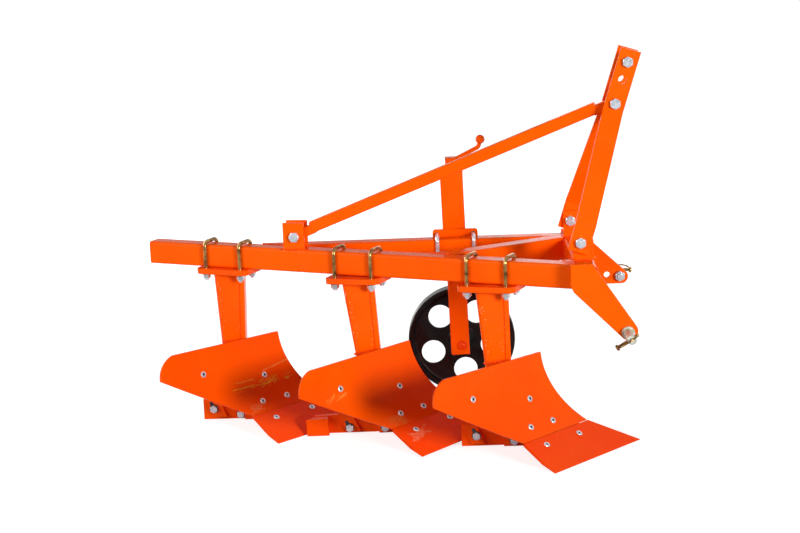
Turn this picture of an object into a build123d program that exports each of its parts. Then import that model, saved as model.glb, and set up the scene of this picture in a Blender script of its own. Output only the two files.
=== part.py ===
"""Three-furrow mounted mouldboard plough for a small tractor.

+X is the direction of travel, +Y the land side (left), +Z up, millimetres.
Everything is drawn with the point of the front share at zero and then moved,
so that the origin lies on the floor under the middle of the plough.
"""

import math
import os

from build123d import *

# ---------------------------------------------------------------- whole plough
SHIFT = Vector(625.05, -68.98, 0)  # from the front share's point to the origin
BODY_STEP = Vector(-340, 159.3, 0)  # one plough body to the next one behind it
BEAM_DIR = BODY_STEP.normalized()  # main beam, towards the rear
BEAM_ACROSS = Vector(BEAM_DIR.Y, -BEAM_DIR.X, 0)  # towards the land

# name, stations behind the front body, drop, lean of the whole body forwards,
# turn towards the land, lean of its leg alone, tilt of its pad (degrees),
# landside's rear end, and whether that end carries the heel block
BODIES = [
    ("front", 0.0, 0.0, 0.0, 0.0, 0.0, 2.0, -451, False),
    ("middle", 0.983, 2.5, 2.6, 0.0, 0.0, 2.6, -510, True),
    ("rear", 2.008, 0.0, 0.0, -0.9, -2.4, 0.5, -457, False),
]

# ---------------------------------------------------------------- frame tubes
TUBE_W = 50  # beam tube width
TUBE_H = 60  # beam tube height
TUBE_WALL = 5
TUBE_R = 7  # outer corner radius
FRAME_TOP = 482
FRAME_MID = FRAME_TOP - TUBE_H / 2
FRAME_LOW = FRAME_TOP - TUBE_H
CROSS_REAR = -167  # rear face of the cross tube
CROSS_RIGHT = -156
CROSS_LEFT = 316
LAND_NEAR = 252  # right face of the land beam
LAND_REAR = -955
BEAM_AT_LEG = Vector(-366, -18, 0)  # main beam's middle over the front leg
BEAM_REAR_X = -1257
BRACE_FRONT = Vector(CROSS_REAR, 252, 0)
BRACE_REAR = Vector(-500, 60, 0)
CAP_T = 6  # plate that closes the main beam's rear end

# ---------------------------------------------------------------- hitch
BOLT_R = 8
BOLT_FLATS = 24
BOLT_HEAD = 10
BOLT_HOLE_R = 8.2
ARM_T = 12
RIGHT_ROOT = [(-174, 421), (-181, 436), (-181, 489), (-129, 489)]  # arm's corners at the cross tube
LEFT_ROOT = [(-66, 335.5), (-167, 402), (-167, 487), (-124, 487)]
PIN_R = 11
PIN_OUT = 82  # lower-link pin beyond its arm
PIN_COLLAR = (15.5, 10)  # radius and length
PIN_NUT_FLATS = 24
PIN_NUT_H = 13
LYNCH_R = 5  # cross hole for the lynch pin
LYNCH_AT = 70  # beyond the arm
SPARE_HOLE = (-48, 360)
RIGHT_PIN = (-46, 320)  # x, z
RIGHT_NOSE = (-44, 322, 22)  # x, z and radius of the arm's rounded end
LEFT_PIN = (-14, 357)
LEFT_NOSE = (-10.5, 354, 18.5)
MAST_MID_Y = 80
MAST_FOOT = (-149, 526)  # x, z of the foot bolts
MAST_LEAN = 17.6  # degrees forwards from upright
MAST_W = 50
MAST_T = 10
MAST_FOOT_Y = 160  # bar's middle from the mast's middle, at the foot
MAST_TOP_Y = 31  # and at the top
MAST_START = -25  # along the bar from the foot bolt
MAST_BEND_LOW = 45
MAST_BEND_HIGH = 316
MAST_END = 472
MAST_STAY_BOLT = 335  # holes along the bar from the foot bolt
MAST_LINK_HOLE = 396
MAST_TOP_BOLT = 441
LINK_HOLE_R = 10.2
LUG_T = 10
LUG_SIDE = [(-167, FRAME_TOP), (-117, FRAME_TOP), (-117, 530), (-128, 551), (-167, 551)]
STAY_TUBE = 30
STAY_TONGUE = (28, 25)  # width and height of the stay's ends
STAY_RISE = 5  # tube's middle above the line through its bolts
STAY_BARE = 46  # tongue's length, from bolt to tube
STAY_REAR = Vector(-859, 212, 514.5)
STAY_WALL = 3
BRACKET_H = 69
BRACKET_T = 8
BRACKET_GAP = 32  # between its two plates

# ---------------------------------------------------------------- body
PAD_T = 14
PAD_L = 154
PAD_W = 95
PAD_R = 18
UBOLT_R = 5
UBOLT_BEND = 15
UBOLT_RISE = 8  # bar's middle above the tube
NUT_FLATS = 19
NUT_H = 12  # with its washer
UBOLT_HALF = 30.5  # leg's middle from the beam's middle
UBOLT_STATION = 52  # each side of the leg
LEG_NEAR = -42  # right face of the leg
LEG_FAR = -2
SHARE_ANGLE = 47.4  # cutting edge from the direction of travel
SHARE_PITCH = 29.7  # share's face above the floor
SHARE_LEN = 345.6
SHARE_DEPTH = 112  # up its face
SHARE_T = 8
SHARE_BEVEL = 42  # ground underneath, up from the cutting edge
BOARD_R = 280  # rolled radius of the mouldboard's face
BOARD_T = 5
BOARD_AXIS_T = -97.5  # roll axis behind the cutting edge
BOARD_AXIS_Z = 255.6
BOARD_FOOT = 55.7
BOARD_TOP = 243.4  # at the wing
BOARD_SHIN = 232.4  # its top edge falls to this towards the landside
LEG_FOOT = 58
LEG_WALL = 8
LEG_BEND = 13  # outer radius of the leg's rear edges
FROG_T = 9
STAY_WING = (-438.9, 171.0, 177.2)  # wing bolt: along the edge, behind it, height

# ---------------------------------------------------------------- depth wheel
WHEEL_X = -441.5
WHEEL_Z = 180
WHEEL_R = 144.5
WHEEL_NEAR = 386
WHEEL_W = 46
WHEEL_HOLES = 5
WHEEL_HOLE_R = 32
WHEEL_HOLES_AT = 85  # holes' middles from the axle
WHEEL_HOLE_TURN = 58.6  # degrees of the first hole, from the front
AXLE_R = 12.5
SLEEVE_X = -447
SLEEVE_NEAR = 312
SLEEVE_S = 60
SLEEVE_TOP = 650
SLEEVE_LOW = 395
CLAMP_PLATE = (119, 101, 449)  # width, height and its middle's height above the floor
CLAMP_X = (-494.5, -399.5)  # clamp's U-bolts
CLAMP_FLATS = 17
POST_S = 50
POST_LOW = 155
POST_TOP = 520
POST_WALL = 4
POST_LEAN = 1.2  # degrees, foot forwards
LEAN_AT = 392  # height of the point it leans about
SCREW_R = 10
CRANK_R = 5.5
KNOB = (-366, 729)  # x, z of the crank's ball
KNOB_R = 12


def prism(points, along):
    """A flat outline of points pushed along a vector."""
    return Solid.extrude(Face(Wire.make_polygon([Vector(*p) for p in points], close=True)), Vector(*along))


def plate_xz(outline, y0, y1):
    """An upright fore-and-aft plate from y0 to y1."""
    return prism([(x, y0, z) for x, z in outline], (0, y1 - y0, 0))


def rod(start, end, radius):
    """A round bar between two points."""
    line = Vector(*end) - Vector(*start)
    return extrude(Plane(origin=start, z_dir=line) * Circle(radius), amount=line.length)


def turned(start, along, outline):
    """A turned piece: its half outline, as radius and distance along, about a line."""
    axis = Vector(*along).normalized()
    out = Vector(0, 0, 1) if abs(axis.Z) < 0.9 else Vector(1, 0, 0)
    half = Plane(origin=start, x_dir=out, z_dir=out.cross(axis)) * make_face(Polyline(*outline, close=True))
    return revolve(half, Axis(tuple(start), tuple(axis)))


def bent_rod(corners, radius, bend):
    """A round bar along its corner points, every corner bent to one radius."""
    points = [Vector(*p) for p in corners]
    start = points[0]
    pieces = []
    for before, corner, after in zip(points, points[1:], points[2:]):
        come, go = (corner - before).normalized(), (after - corner).normalized()
        turn = come.get_angle(go)
        reach = bend * math.tan(math.radians(turn / 2))
        normal = come.cross(go).normalized()
        bend_start = corner - come * reach
        middle = bend_start + normal.cross(come) * bend
        section = Plane(origin=bend_start, z_dir=come) * Circle(radius)
        pieces += [rod(start, bend_start, radius), revolve(section, Axis(tuple(middle), tuple(normal)), turn)]
        start = corner + go * reach
    out = rod(start, points[-1], radius)
    for piece in pieces:
        out += piece
    return out


def hexagon(centre, along, flats, depth):
    """A hexagon nut or head starting at centre, its outer corners turned off."""
    corner, face = flats / math.sqrt(3), flats * 0.475
    slope = (corner - face) * math.tan(math.radians(30))
    sketch = Plane(origin=centre, z_dir=Vector(*along)) * RegularPolygon(corner, 6)
    outline = [(0, 0), (corner + 1, 0), (corner + 1, depth - slope - 0.6), (face, depth), (0, depth)]
    return extrude(sketch, amount=depth) & turned(centre, along, outline)


def nut(centre, along, flats):
    """A U-bolt's plain hexagon nut starting at centre."""
    sketch = Plane(origin=centre, z_dir=Vector(*along)) * RegularPolygon(flats / math.sqrt(3), 6)
    return extrude(sketch, amount=NUT_H)


def beam_plane(start, end):
    """A plane across a level or sloping bar, its x lying level."""
    line = (Vector(*end) - Vector(*start)).normalized()
    level = Vector(0, 0, 1).cross(line) if abs(line.Z) < 0.99 else Vector(1, 0, 0)
    return Plane(origin=start, x_dir=level, z_dir=line)


def solid_bar(start, end, width, height, radius):
    """A bar with rounded corners."""
    length = (Vector(*end) - Vector(*start)).length
    return extrude(beam_plane(start, end) * RectangleRounded(width, height, radius), amount=length)


def tube(start, end, width=TUBE_W, height=TUBE_H, wall=TUBE_WALL, radius=TUBE_R):
    """A box tube with rounded corners, open at both ends."""
    inner = solid_bar(start, end, width - 2 * wall, height - 2 * wall, radius - wall + 0.5)
    return solid_bar(start, end, width, height, radius) - inner


def beam_y(x):
    """Middle of the main beam at x."""
    return BEAM_AT_LEG.Y + (x - BEAM_AT_LEG.X) * BEAM_DIR.Y / BEAM_DIR.X


parts = {}

# ================================================================ frame
rear_end = Vector(BEAM_REAR_X, beam_y(BEAM_REAR_X), FRAME_MID)
front_end = Vector(CROSS_REAR + 60, beam_y(CROSS_REAR + 60), FRAME_MID)
behind_cross = Pos(CROSS_REAR - 1000, 0, FRAME_MID) * Box(2000, 3000, 400)
main_outer = solid_bar(rear_end, front_end, TUBE_W, TUBE_H, TUBE_R)
main_beam = tube(rear_end, front_end) & behind_cross
cap_end = rear_end - BEAM_DIR * CAP_T
parts["main_beam"] = main_beam + solid_bar(rear_end, cap_end, TUBE_W, TUBE_H, TUBE_R)

land_y = LAND_NEAR + TUBE_W / 2
land_outer = solid_bar((-1100, land_y, FRAME_MID), (CROSS_REAR, land_y, FRAME_MID), TUBE_W, TUBE_H, TUBE_R)
land_beam = tube((LAND_REAR, land_y, FRAME_MID), (CROSS_REAR, land_y, FRAME_MID)) - main_outer
parts["land_beam"] = max(land_beam.solids(), key=lambda s: s.volume)

brace_line = (BRACE_FRONT - BRACE_REAR).normalized()
brace_a = BRACE_REAR - brace_line * 80 + Vector(0, 0, FRAME_MID)
brace_b = BRACE_FRONT + brace_line * 60 + Vector(0, 0, FRAME_MID)
brace = (tube(brace_a, brace_b) & behind_cross) - main_outer - land_outer
parts["brace"] = max(brace.solids(), key=lambda s: s.volume if s.center().Y > 0 else 0)

cross_x = CROSS_REAR + TUBE_W / 2
parts["cross_tube"] = tube((cross_x, CROSS_RIGHT, FRAME_MID), (cross_x, CROSS_LEFT, FRAME_MID))

# ================================================================ hitch arms and pins


def arm_plate(root, nose, y0):
    """Arm plate: the tight outline round its root corners and its rounded nose."""
    x, z, radius = nose
    edges = Polyline(*root).edges() + (Pos(x, z) * Circle(radius)).edges()
    outline = Plane(origin=(0, y0, 0), x_dir=(1, 0, 0), z_dir=(0, -1, 0)) * make_hull(edges)
    return extrude(outline, amount=-ARM_T)


right_arm = arm_plate(RIGHT_ROOT, RIGHT_NOSE, CROSS_RIGHT - ARM_T)
left_arm = arm_plate(LEFT_ROOT, LEFT_NOSE, CROSS_LEFT)
collar_r, collar_l = PIN_COLLAR
spare_x, spare_z = SPARE_HOLE
arms = [
    # name, plate, pin place, face the pin stands on, way out, slope of the lynch pin's hole in degrees
    ("right", right_arm, RIGHT_PIN, CROSS_RIGHT - ARM_T, -1, 28),
    ("left", left_arm, LEFT_PIN, CROSS_LEFT + ARM_T, 1, -4),
]
for name, arm, (px, pz), face, out, slope in arms:
    bore = rod((px, face + out * 60, pz), (px, face - out * 60, pz), BOLT_HOLE_R)
    if name == "left":
        bore += rod((spare_x, face + 60, spare_z), (spare_x, face - 60, spare_z), BOLT_HOLE_R)
    parts[f"{name}_arm"] = arm - bore
    shank = ARM_T + PIN_NUT_H + 3
    outline = [
        (0, -shank),
        (BOLT_R, -shank),
        (BOLT_R, 0),
        (collar_r, 0),
        (collar_r, collar_l),
        (PIN_R, collar_l),
        (PIN_R, PIN_OUT - 2.5),
        (PIN_R - 2.5, PIN_OUT),
        (0, PIN_OUT),
    ]
    pin = turned((px, face, pz), (0, out, 0), outline)
    pin += hexagon((px, face - out * ARM_T, pz), (0, -out, 0), PIN_NUT_FLATS, PIN_NUT_H)
    lynch_way = Vector(math.cos(math.radians(slope)), 0, math.sin(math.radians(slope)))
    across = Vector(px, face + out * LYNCH_AT, pz)
    pin -= rod(across - lynch_way * 20, across + lynch_way * 20, LYNCH_R)
    parts[f"{name}_pin"] = pin

# ================================================================ mast
lean = math.radians(MAST_LEAN)
mast_up = Vector(math.sin(lean), 0, math.cos(lean))
mast_fore = Vector(math.cos(lean), 0, -math.sin(lean))


def on_mast(along, y):
    """A point on the mast's leaning middle line."""
    return Vector(MAST_FOOT[0], y, MAST_FOOT[1]) + mast_up * along


for name, side in (("right", -1), ("left", 1)):
    foot_y = MAST_MID_Y + side * MAST_FOOT_Y
    top_y = MAST_MID_Y + side * MAST_TOP_Y
    half = MAST_T / 2
    slope = (MAST_FOOT_Y - MAST_TOP_Y) / (MAST_BEND_HIGH - MAST_BEND_LOW)
    skew = half * math.tan(math.atan(slope) / 2)
    line = [(MAST_START, foot_y), (MAST_BEND_LOW, foot_y), (MAST_BEND_HIGH, top_y), (MAST_END, top_y)]
    outer = [(a, y + side * half) for a, y in line]
    inner = [(a, y - side * half) for a, y in line]
    outer[1] = (outer[1][0] + skew, outer[1][1])
    inner[1] = (inner[1][0] - skew, inner[1][1])
    outer[2] = (outer[2][0] + skew, outer[2][1])
    inner[2] = (inner[2][0] - skew, inner[2][1])
    ring = [on_mast(a, y) - mast_fore * (MAST_W / 2) for a, y in outer + inner[::-1]]
    bar = prism([tuple(v) for v in ring], tuple(mast_fore * MAST_W))
    for along, y, radius in (
        (0, foot_y, BOLT_HOLE_R),
        (MAST_STAY_BOLT, top_y, BOLT_HOLE_R),
        (MAST_LINK_HOLE, top_y, LINK_HOLE_R),
        (MAST_TOP_BOLT, top_y, BOLT_HOLE_R),
    ):
        at = on_mast(along, y)
        bar -= rod(at - Vector(0, 30, 0), at + Vector(0, 30, 0), radius)
    parts[f"mast_bar_{name}"] = bar
    lug_out = foot_y - side * half
    lug_in = lug_out - side * LUG_T
    lug = plate_xz(LUG_SIDE, lug_in, lug_out)
    lug -= rod(on_mast(0, foot_y - 30), on_mast(0, foot_y + 30), BOLT_HOLE_R)
    parts[f"mast_lug_{name}"] = lug


def bolt(middle, half_grip, spare, across=Vector(0, 1, 0)):
    """A bolt lying across the plough, its head on the right and its nut on the left."""
    right, left = middle - across * half_grip, middle + across * half_grip
    out = rod(right, left + across * (BOLT_HEAD + spare), BOLT_R)
    return out + hexagon(right, -across, BOLT_FLATS, BOLT_HEAD) + hexagon(left, across, BOLT_FLATS, BOLT_HEAD)


feet = [MAST_MID_Y + side * (MAST_FOOT_Y - MAST_T / 2) for side in (-1, 1)]
foot_bolts = [bolt(on_mast(0, y), LUG_T, 5) for y in feet]
parts["mast_foot_bolts"] = Compound(foot_bolts)
top_at = on_mast(MAST_TOP_BOLT, MAST_MID_Y)
stay_at = on_mast(MAST_STAY_BOLT, MAST_MID_Y)
clevis_half = MAST_TOP_Y + MAST_T / 2
parts["mast_top_bolt"] = bolt(top_at, clevis_half, 6)
parts["stay_front_bolt"] = bolt(stay_at, clevis_half, 6)

# ================================================================ stay
stay_line = (stay_at - STAY_REAR).normalized()
stay_raise = Vector(0, 0, STAY_RISE)
stay_a = STAY_REAR + stay_line * STAY_BARE + stay_raise
stay_b = stay_at - stay_line * STAY_BARE + stay_raise
stay = solid_bar(stay_a, stay_b, STAY_TUBE, STAY_TUBE, 4)
stay_bore = STAY_TUBE - 2 * STAY_WALL
stay -= solid_bar(stay_a + stay_line * 14, stay_b - stay_line * 14, stay_bore, stay_bore, 2)
tongue_w, tongue_h = STAY_TONGUE
for bolt_at, way in ((STAY_REAR, stay_line), (stay_at, -stay_line)):
    stay += solid_bar(bolt_at - way * 18, bolt_at + way * (STAY_BARE + 8), tongue_w, tongue_h, 4)
flat_line = Vector(stay_line.X, stay_line.Y, 0).normalized()
flat_side = Vector(-flat_line.Y, flat_line.X, 0)
stay_hole = rod(STAY_REAR - flat_side * 60, STAY_REAR + flat_side * 60, BOLT_HOLE_R)
stay_hole += rod(stay_at - Vector(0, 60, 0), stay_at + Vector(0, 60, 0), BOLT_HOLE_R)
parts["stay"] = stay - stay_hole
bracket_at = Vector(STAY_REAR.X, STAY_REAR.Y, FRAME_TOP)
bracket = []
for offset in (-BRACKET_GAP / 2 - BRACKET_T, BRACKET_GAP / 2):
    low = bracket_at + flat_side * offset
    corners = [low - flat_line * 30, low + flat_line * 25, low + flat_line * 25, low - flat_line * 30]
    ring = [tuple(c + Vector(0, 0, h)) for c, h in zip(corners, (0, 0, BRACKET_H, BRACKET_H))]
    bracket.append(prism(ring, tuple(flat_side * BRACKET_T)))
parts["stay_bracket"] = Compound([plate - stay_hole for plate in bracket])
parts["stay_rear_bolt"] = bolt(STAY_REAR, BRACKET_GAP / 2 + BRACKET_T, 4, flat_side)

# ================================================================ plough bodies
edge = Vector(math.cos(math.radians(SHARE_ANGLE)), math.sin(math.radians(SHARE_ANGLE)), 0)
back = Vector(-edge.Y, edge.X, 0)  # level, behind the cutting edge
pitch = math.radians(SHARE_PITCH)
share_up = back * math.cos(pitch) + Vector(0, 0, math.sin(pitch))
share_under = back * math.sin(pitch) - Vector(0, 0, math.cos(pitch))


def body_point(s, t, z):
    """A point s along the cutting edge and t behind it."""
    return edge * s + back * t + Vector(0, 0, z)


def shell(r0, r1, s0, s1):
    """Part of a tube wall about the mouldboard's roll axis."""
    axis = Plane(origin=body_point(s0, BOARD_AXIS_T, BOARD_AXIS_Z), x_dir=back, z_dir=edge)
    ring = axis * (Circle(r1) - Circle(r0))
    return extrude(ring, amount=s1 - s0)


def slab(s0, s1, up0, up1, d0, d1):
    """A block lying behind the share's face."""
    corners = ((s0, up0), (s1, up0), (s1, up1), (s0, up1))
    ring = [edge * s + share_up * u + share_under * d0 for s, u in corners]
    return prism([tuple(v) for v in ring], tuple(share_under * (d1 - d0)))


def behind_board():
    """Round space out to the mouldboard's back."""
    start = body_point(-700, BOARD_AXIS_T, BOARD_AXIS_Z)
    return rod(start, start + edge * 1000, BOARD_R + BOARD_T)


def wall_side(y):
    """Everything to the right of y."""
    return Pos(0, y - 1500, 0) * Box(3000, 3000, 3000)


above_floor = Pos(0, 0, 1500) * Box(4000, 4000, 3000)


def share_blade():
    """Flat share: pointed at the land end, ground to an edge underneath."""
    section = [(0, 0), (SHARE_DEPTH, 0), (SHARE_DEPTH, SHARE_T), (SHARE_BEVEL, SHARE_T)]
    ring = [edge * -SHARE_LEN + share_up * u + share_under * d for u, d in section]
    blade = prism([tuple(v) for v in ring], tuple(edge * SHARE_LEN))
    plan = [(0, 0), (-SHARE_LEN, 0), (5 - SHARE_LEN, SHARE_DEPTH), (-89, SHARE_DEPTH)]
    sides = [edge * s + share_up * u - share_under * 5 for s, u in plan]
    return blade & prism([tuple(v) for v in sides], tuple(share_under * 20))


def mouldboard():
    """Rolled plate cut to its outline, its wing corner rounded."""
    wing_top, wing_mid, wing_low = (-524, BOARD_TOP), (-558, 223), (-574, 185.4)
    outline = Polyline(wing_low, (-341, BOARD_FOOT), (20, BOARD_FOOT), (20, BOARD_SHIN), wing_top)
    outline += ThreePointArc(wing_top, wing_mid, wing_low)
    face = Plane(origin=(0, 0, 0), x_dir=edge, z_dir=-back) * make_face(outline)
    cut = extrude(face, amount=-400)
    return shell(BOARD_R, BOARD_R + BOARD_T, -620, 60) & cut & wall_side(0)


def landside(end, long_one):
    """Bar along the furrow wall; the long one ends in a heel block."""
    bar = plate_xz([(end, 1), (end, 56), (-172, 56), (-44, 1)], -12, -1)
    if long_one:
        heel = [(-532, -36), (-475, -36), (-475, -12), (-511, -12)]  # bevelled clear of the share behind
        bar += prism([(x, y, -20) for x, y in heel], (0, 0, 74))
    return bar


def column(lean_deg, top):
    """Box leg: sides tapering downwards, its rear edges bent, a welded seam in front."""
    box = plate_xz([(-407, top), (-325, top), (-321, LEG_FOOT), (-372, LEG_FOOT)], LEG_NEAR, LEG_FAR)
    rear_edges = box.edges().filter_by(lambda e: abs((e @ 0).Z - (e @ 1).Z) > 100).sort_by(Axis.X)[:2]
    box = fillet(rear_edges, LEG_BEND)
    hollow = [(-396, top), (-335, top), (-332, LEG_FOOT + 2), (-364, LEG_FOOT + 2)]
    inside = plate_xz(hollow, LEG_NEAR + LEG_WALL, LEG_FAR - LEG_WALL)
    seam = plate_xz([(-340, top), (-337, top), (-335, 210), (-338, 210)], LEG_NEAR - 5, LEG_NEAR + 2)
    return (box - inside - seam).rotate(Axis(tuple(pivot), (0, 1, 0)), -lean_deg)


def frog():
    """Plates that carry share, mouldboard and landside."""
    saddle = shell(BOARD_R + BOARD_T, BOARD_R + BOARD_T + FROG_T, -318, -150)
    saddle_side = ((-318, 60), (-150, 60), (-190, 165), (-300, 165))
    saddle &= prism([tuple(body_point(s, 0, z)) for s, z in saddle_side], tuple(back * 400))
    seat = slab(-312, -120, 28, 108, SHARE_T, SHARE_T + FROG_T)
    web = plate_xz([(-372, LEG_FOOT), (-130, LEG_FOOT), (-170, 180), (-240, 200), (-345, 200)], -40, -30)
    foot = plate_xz([(-345, 1), (-352, 90), (-320, 90), (-180, 56), (-90, 12), (-90, 1)], -24, -12)
    behind = slab(-700, 300, -400, 900, SHARE_T, 900)
    rib = (web + foot) & behind
    rib -= behind_board()
    return (saddle & wall_side(-12)) + (seat & wall_side(-12)) + rib


def board_stay():
    """Flat bar from the landside up to the wing, bent to lie flat at both ends."""
    tab = plate_xz([(-427, 8), (-393, 8), (-415, 64), (-449, 64)], -20, -12)
    wing_at = body_point(*STAY_WING)
    out = (back * (STAY_WING[1] - BOARD_AXIS_T) + Vector(0, 0, STAY_WING[2] - BOARD_AXIS_Z)).normalized()
    flat = Plane(origin=wing_at + out * (BOARD_T + 3.2), x_dir=edge, z_dir=out)
    pad_piece = extrude(flat * RectangleRounded(34, 34, 4), amount=8)
    low, high = Vector(-432, -16, 62), wing_at + out * (BOARD_T + 8)
    run = Plane(origin=low, x_dir=(1, 0, 0), z_dir=high - low) * Rectangle(32, 8)
    whole = tab + extrude(run, amount=(high - low).length) + pad_piece
    return whole - behind_board()


pivot = Vector(-352, 0, 377)
pad_edge = Vector(-287, 0, FRAME_LOW - 0.1)  # where a tilted pad bears on the beam


def pad(tilt):
    """Clamp pad lying along the beam, tilted down towards the rear."""
    plan = Plane(origin=BEAM_AT_LEG + Vector(0, 0, FRAME_LOW), x_dir=BEAM_DIR, z_dir=(0, 0, -1))
    plate = extrude(plan * RectangleRounded(PAD_L, PAD_W, PAD_R), amount=PAD_T)
    return plate.rotate(Axis(tuple(pad_edge), (0, 1, 0)), -tilt)


def under_pad(x, tilt):
    """Height at which a level nut meets the tilted pad's underside at x."""
    slope = math.radians(tilt)
    return FRAME_LOW - PAD_T - (pad_edge.X - x) * math.tan(slope) - NUT_FLATS / math.sqrt(3) * math.sin(slope)


def u_bolt(u, tilt):
    """Round bar over the beam, with a nut under the pad on each leg."""
    centre = BEAM_AT_LEG + BEAM_DIR * u
    left, right = centre - BEAM_ACROSS * UBOLT_HALF, centre + BEAM_ACROSS * UBOLT_HALF
    seats = [under_pad(foot.X, tilt) for foot in (left, right)]
    top = FRAME_TOP + UBOLT_RISE
    ends = [foot + Vector(0, 0, seat - NUT_H - 2) for foot, seat in zip((left, right), seats)]
    corners = [ends[0], left + Vector(0, 0, top), right + Vector(0, 0, top), ends[1]]
    out = bent_rod(corners, UBOLT_R, UBOLT_BEND)
    for foot, seat in zip((left, right), seats):
        out += nut(tuple(foot + Vector(0, 0, seat)), (0, 0, -1), NUT_FLATS)
    return out


for name, station, drop, lean_deg, yaw_deg, leg_lean, tilt, landside_end, long_one in BODIES:
    step = BODY_STEP * station

    def placed(piece):
        """A piece of this body leaned, turned and moved to its station."""
        leaned = piece.rotate(Axis(tuple(pivot), (0, 1, 0)), -lean_deg)
        aimed = leaned.rotate(Axis(tuple(pivot), (0, 0, 1)), yaw_deg)
        return aimed.moved(Location(tuple(step - Vector(0, 0, drop))))

    column_top = FRAME_LOW - PAD_T / 2 - (pad_edge.X - BEAM_AT_LEG.X) * math.tan(math.radians(tilt))
    plate = pad(tilt)
    for u in (-UBOLT_STATION, UBOLT_STATION):
        for v in (-UBOLT_HALF, UBOLT_HALF):
            at = BEAM_AT_LEG + BEAM_DIR * u + BEAM_ACROSS * v + Vector(0, 0, FRAME_LOW)
            plate -= rod(at - Vector(0, 0, 40), at + Vector(0, 0, 10), UBOLT_R + 0.6)
    parts[f"share_{name}"] = placed(share_blade()) & above_floor
    parts[f"mouldboard_{name}"] = placed(mouldboard())
    parts[f"landside_{name}"] = placed(landside(landside_end, long_one)) & above_floor
    legs = placed(column(leg_lean, column_top) + frog()) & above_floor
    parts[f"leg_{name}"] = legs + plate.moved(Location(tuple(step)))
    parts[f"board_stay_{name}"] = placed(board_stay()) & above_floor
    bolts = [u_bolt(u, tilt).moved(Location(tuple(step))) for u in (-UBOLT_STATION, UBOLT_STATION)]
    parts[f"u_bolts_{name}"] = Compound([s for b in bolts for s in b.solids()])

# ================================================================ depth wheel
sleeve_mid = SLEEVE_NEAR + SLEEVE_S / 2
axle_at = Vector(WHEEL_X, SLEEVE_NEAR, WHEEL_Z)


def leaning(piece):
    """A piece of the depth wheel leaned with its post."""
    return piece.rotate(Axis((SLEEVE_X, 0, LEAN_AT), (0, 1, 0)), -POST_LEAN)


clamp_w, clamp_h, clamp_mid = CLAMP_PLATE
plate_side = Plane(origin=(SLEEVE_X, SLEEVE_NEAR, clamp_mid), x_dir=(1, 0, 0), z_dir=(0, -1, 0))
plate = extrude(plate_side * RectangleRounded(clamp_w, clamp_h, 7), amount=SLEEVE_NEAR - LAND_NEAR - TUBE_W)
sleeve_ends = (SLEEVE_X, sleeve_mid, SLEEVE_LOW), (SLEEVE_X, sleeve_mid, SLEEVE_TOP)
sleeve = tube(*sleeve_ends, SLEEVE_S, SLEEVE_S, POST_WALL, 6)
lid = Pos(SLEEVE_X, sleeve_mid, SLEEVE_TOP + 3) * Box(SLEEVE_S, SLEEVE_S, 6)
lid -= rod((SLEEVE_X, sleeve_mid, SLEEVE_TOP - 20), (SLEEVE_X, sleeve_mid, SLEEVE_TOP + 20), SCREW_R + 0.5)
clamp_half = TUBE_H / 2 + UBOLT_R + 1
clamps = []
for x in CLAMP_X:
    y0, y1 = LAND_NEAR - UBOLT_R - 0.3, SLEEVE_NEAR + NUT_H + 2
    low, high = FRAME_MID - clamp_half, FRAME_MID + clamp_half
    piece = bent_rod([(x, y1, low), (x, y0, low), (x, y0, high), (x, y1, high)], UBOLT_R, 11)
    for z in (low, high):
        plate -= rod((x, 290, z), (x, 330, z), UBOLT_R + 0.6)
        piece += nut((x, SLEEVE_NEAR, z), (0, 1, 0), CLAMP_FLATS)
    clamps += piece.solids()
past_plate = Pos(0, SLEEVE_NEAR + 500, 0) * Box(4000, 1000, 4000)
parts["depth_sleeve"] = plate + (leaning(sleeve + lid) & past_plate)
parts["depth_u_bolts"] = Compound(clamps)

post_ends = (SLEEVE_X, sleeve_mid, POST_LOW), (SLEEVE_X, sleeve_mid, POST_TOP)
post_bore = POST_S - 2 * POST_WALL + 1
post = tube(*post_ends, POST_S, POST_S, POST_WALL, 5)
post += Pos(SLEEVE_X, sleeve_mid, POST_LOW + 3) * Box(post_bore, post_bore, 6)
post_side = Plane(origin=(SLEEVE_X, sleeve_mid - 50, POST_LOW + 200), x_dir=(1, 0, 0), z_dir=(0, -1, 0))
post &= extrude(post_side * RectangleRounded(POST_S, 400, 5), amount=-100)  # rounded foot
axle_end = WHEEL_NEAR - SLEEVE_NEAR + 57
axle_side = [
    (0, 4),
    (AXLE_R, 4),
    (AXLE_R, SLEEVE_S - 5),
    (18, SLEEVE_S - 5),  # shoulder that spaces the wheel off the post
    (18, SLEEVE_S + 8),
    (AXLE_R, SLEEVE_S + 8),
    (AXLE_R, axle_end - 2),
    (AXLE_R - 2, axle_end),
    (0, axle_end),
]
axle = turned(axle_at, (0, 1, 0), axle_side)
post_nut = Pos(SLEEVE_X, sleeve_mid, POST_TOP - 12) * Box(post_bore, post_bore, 20)
post_nut -= rod((SLEEVE_X, sleeve_mid, POST_TOP - 40), (SLEEVE_X, sleeve_mid, POST_TOP + 20), SCREW_R + 0.5)
parts["depth_post"] = leaning(post + axle + post_nut)

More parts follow.
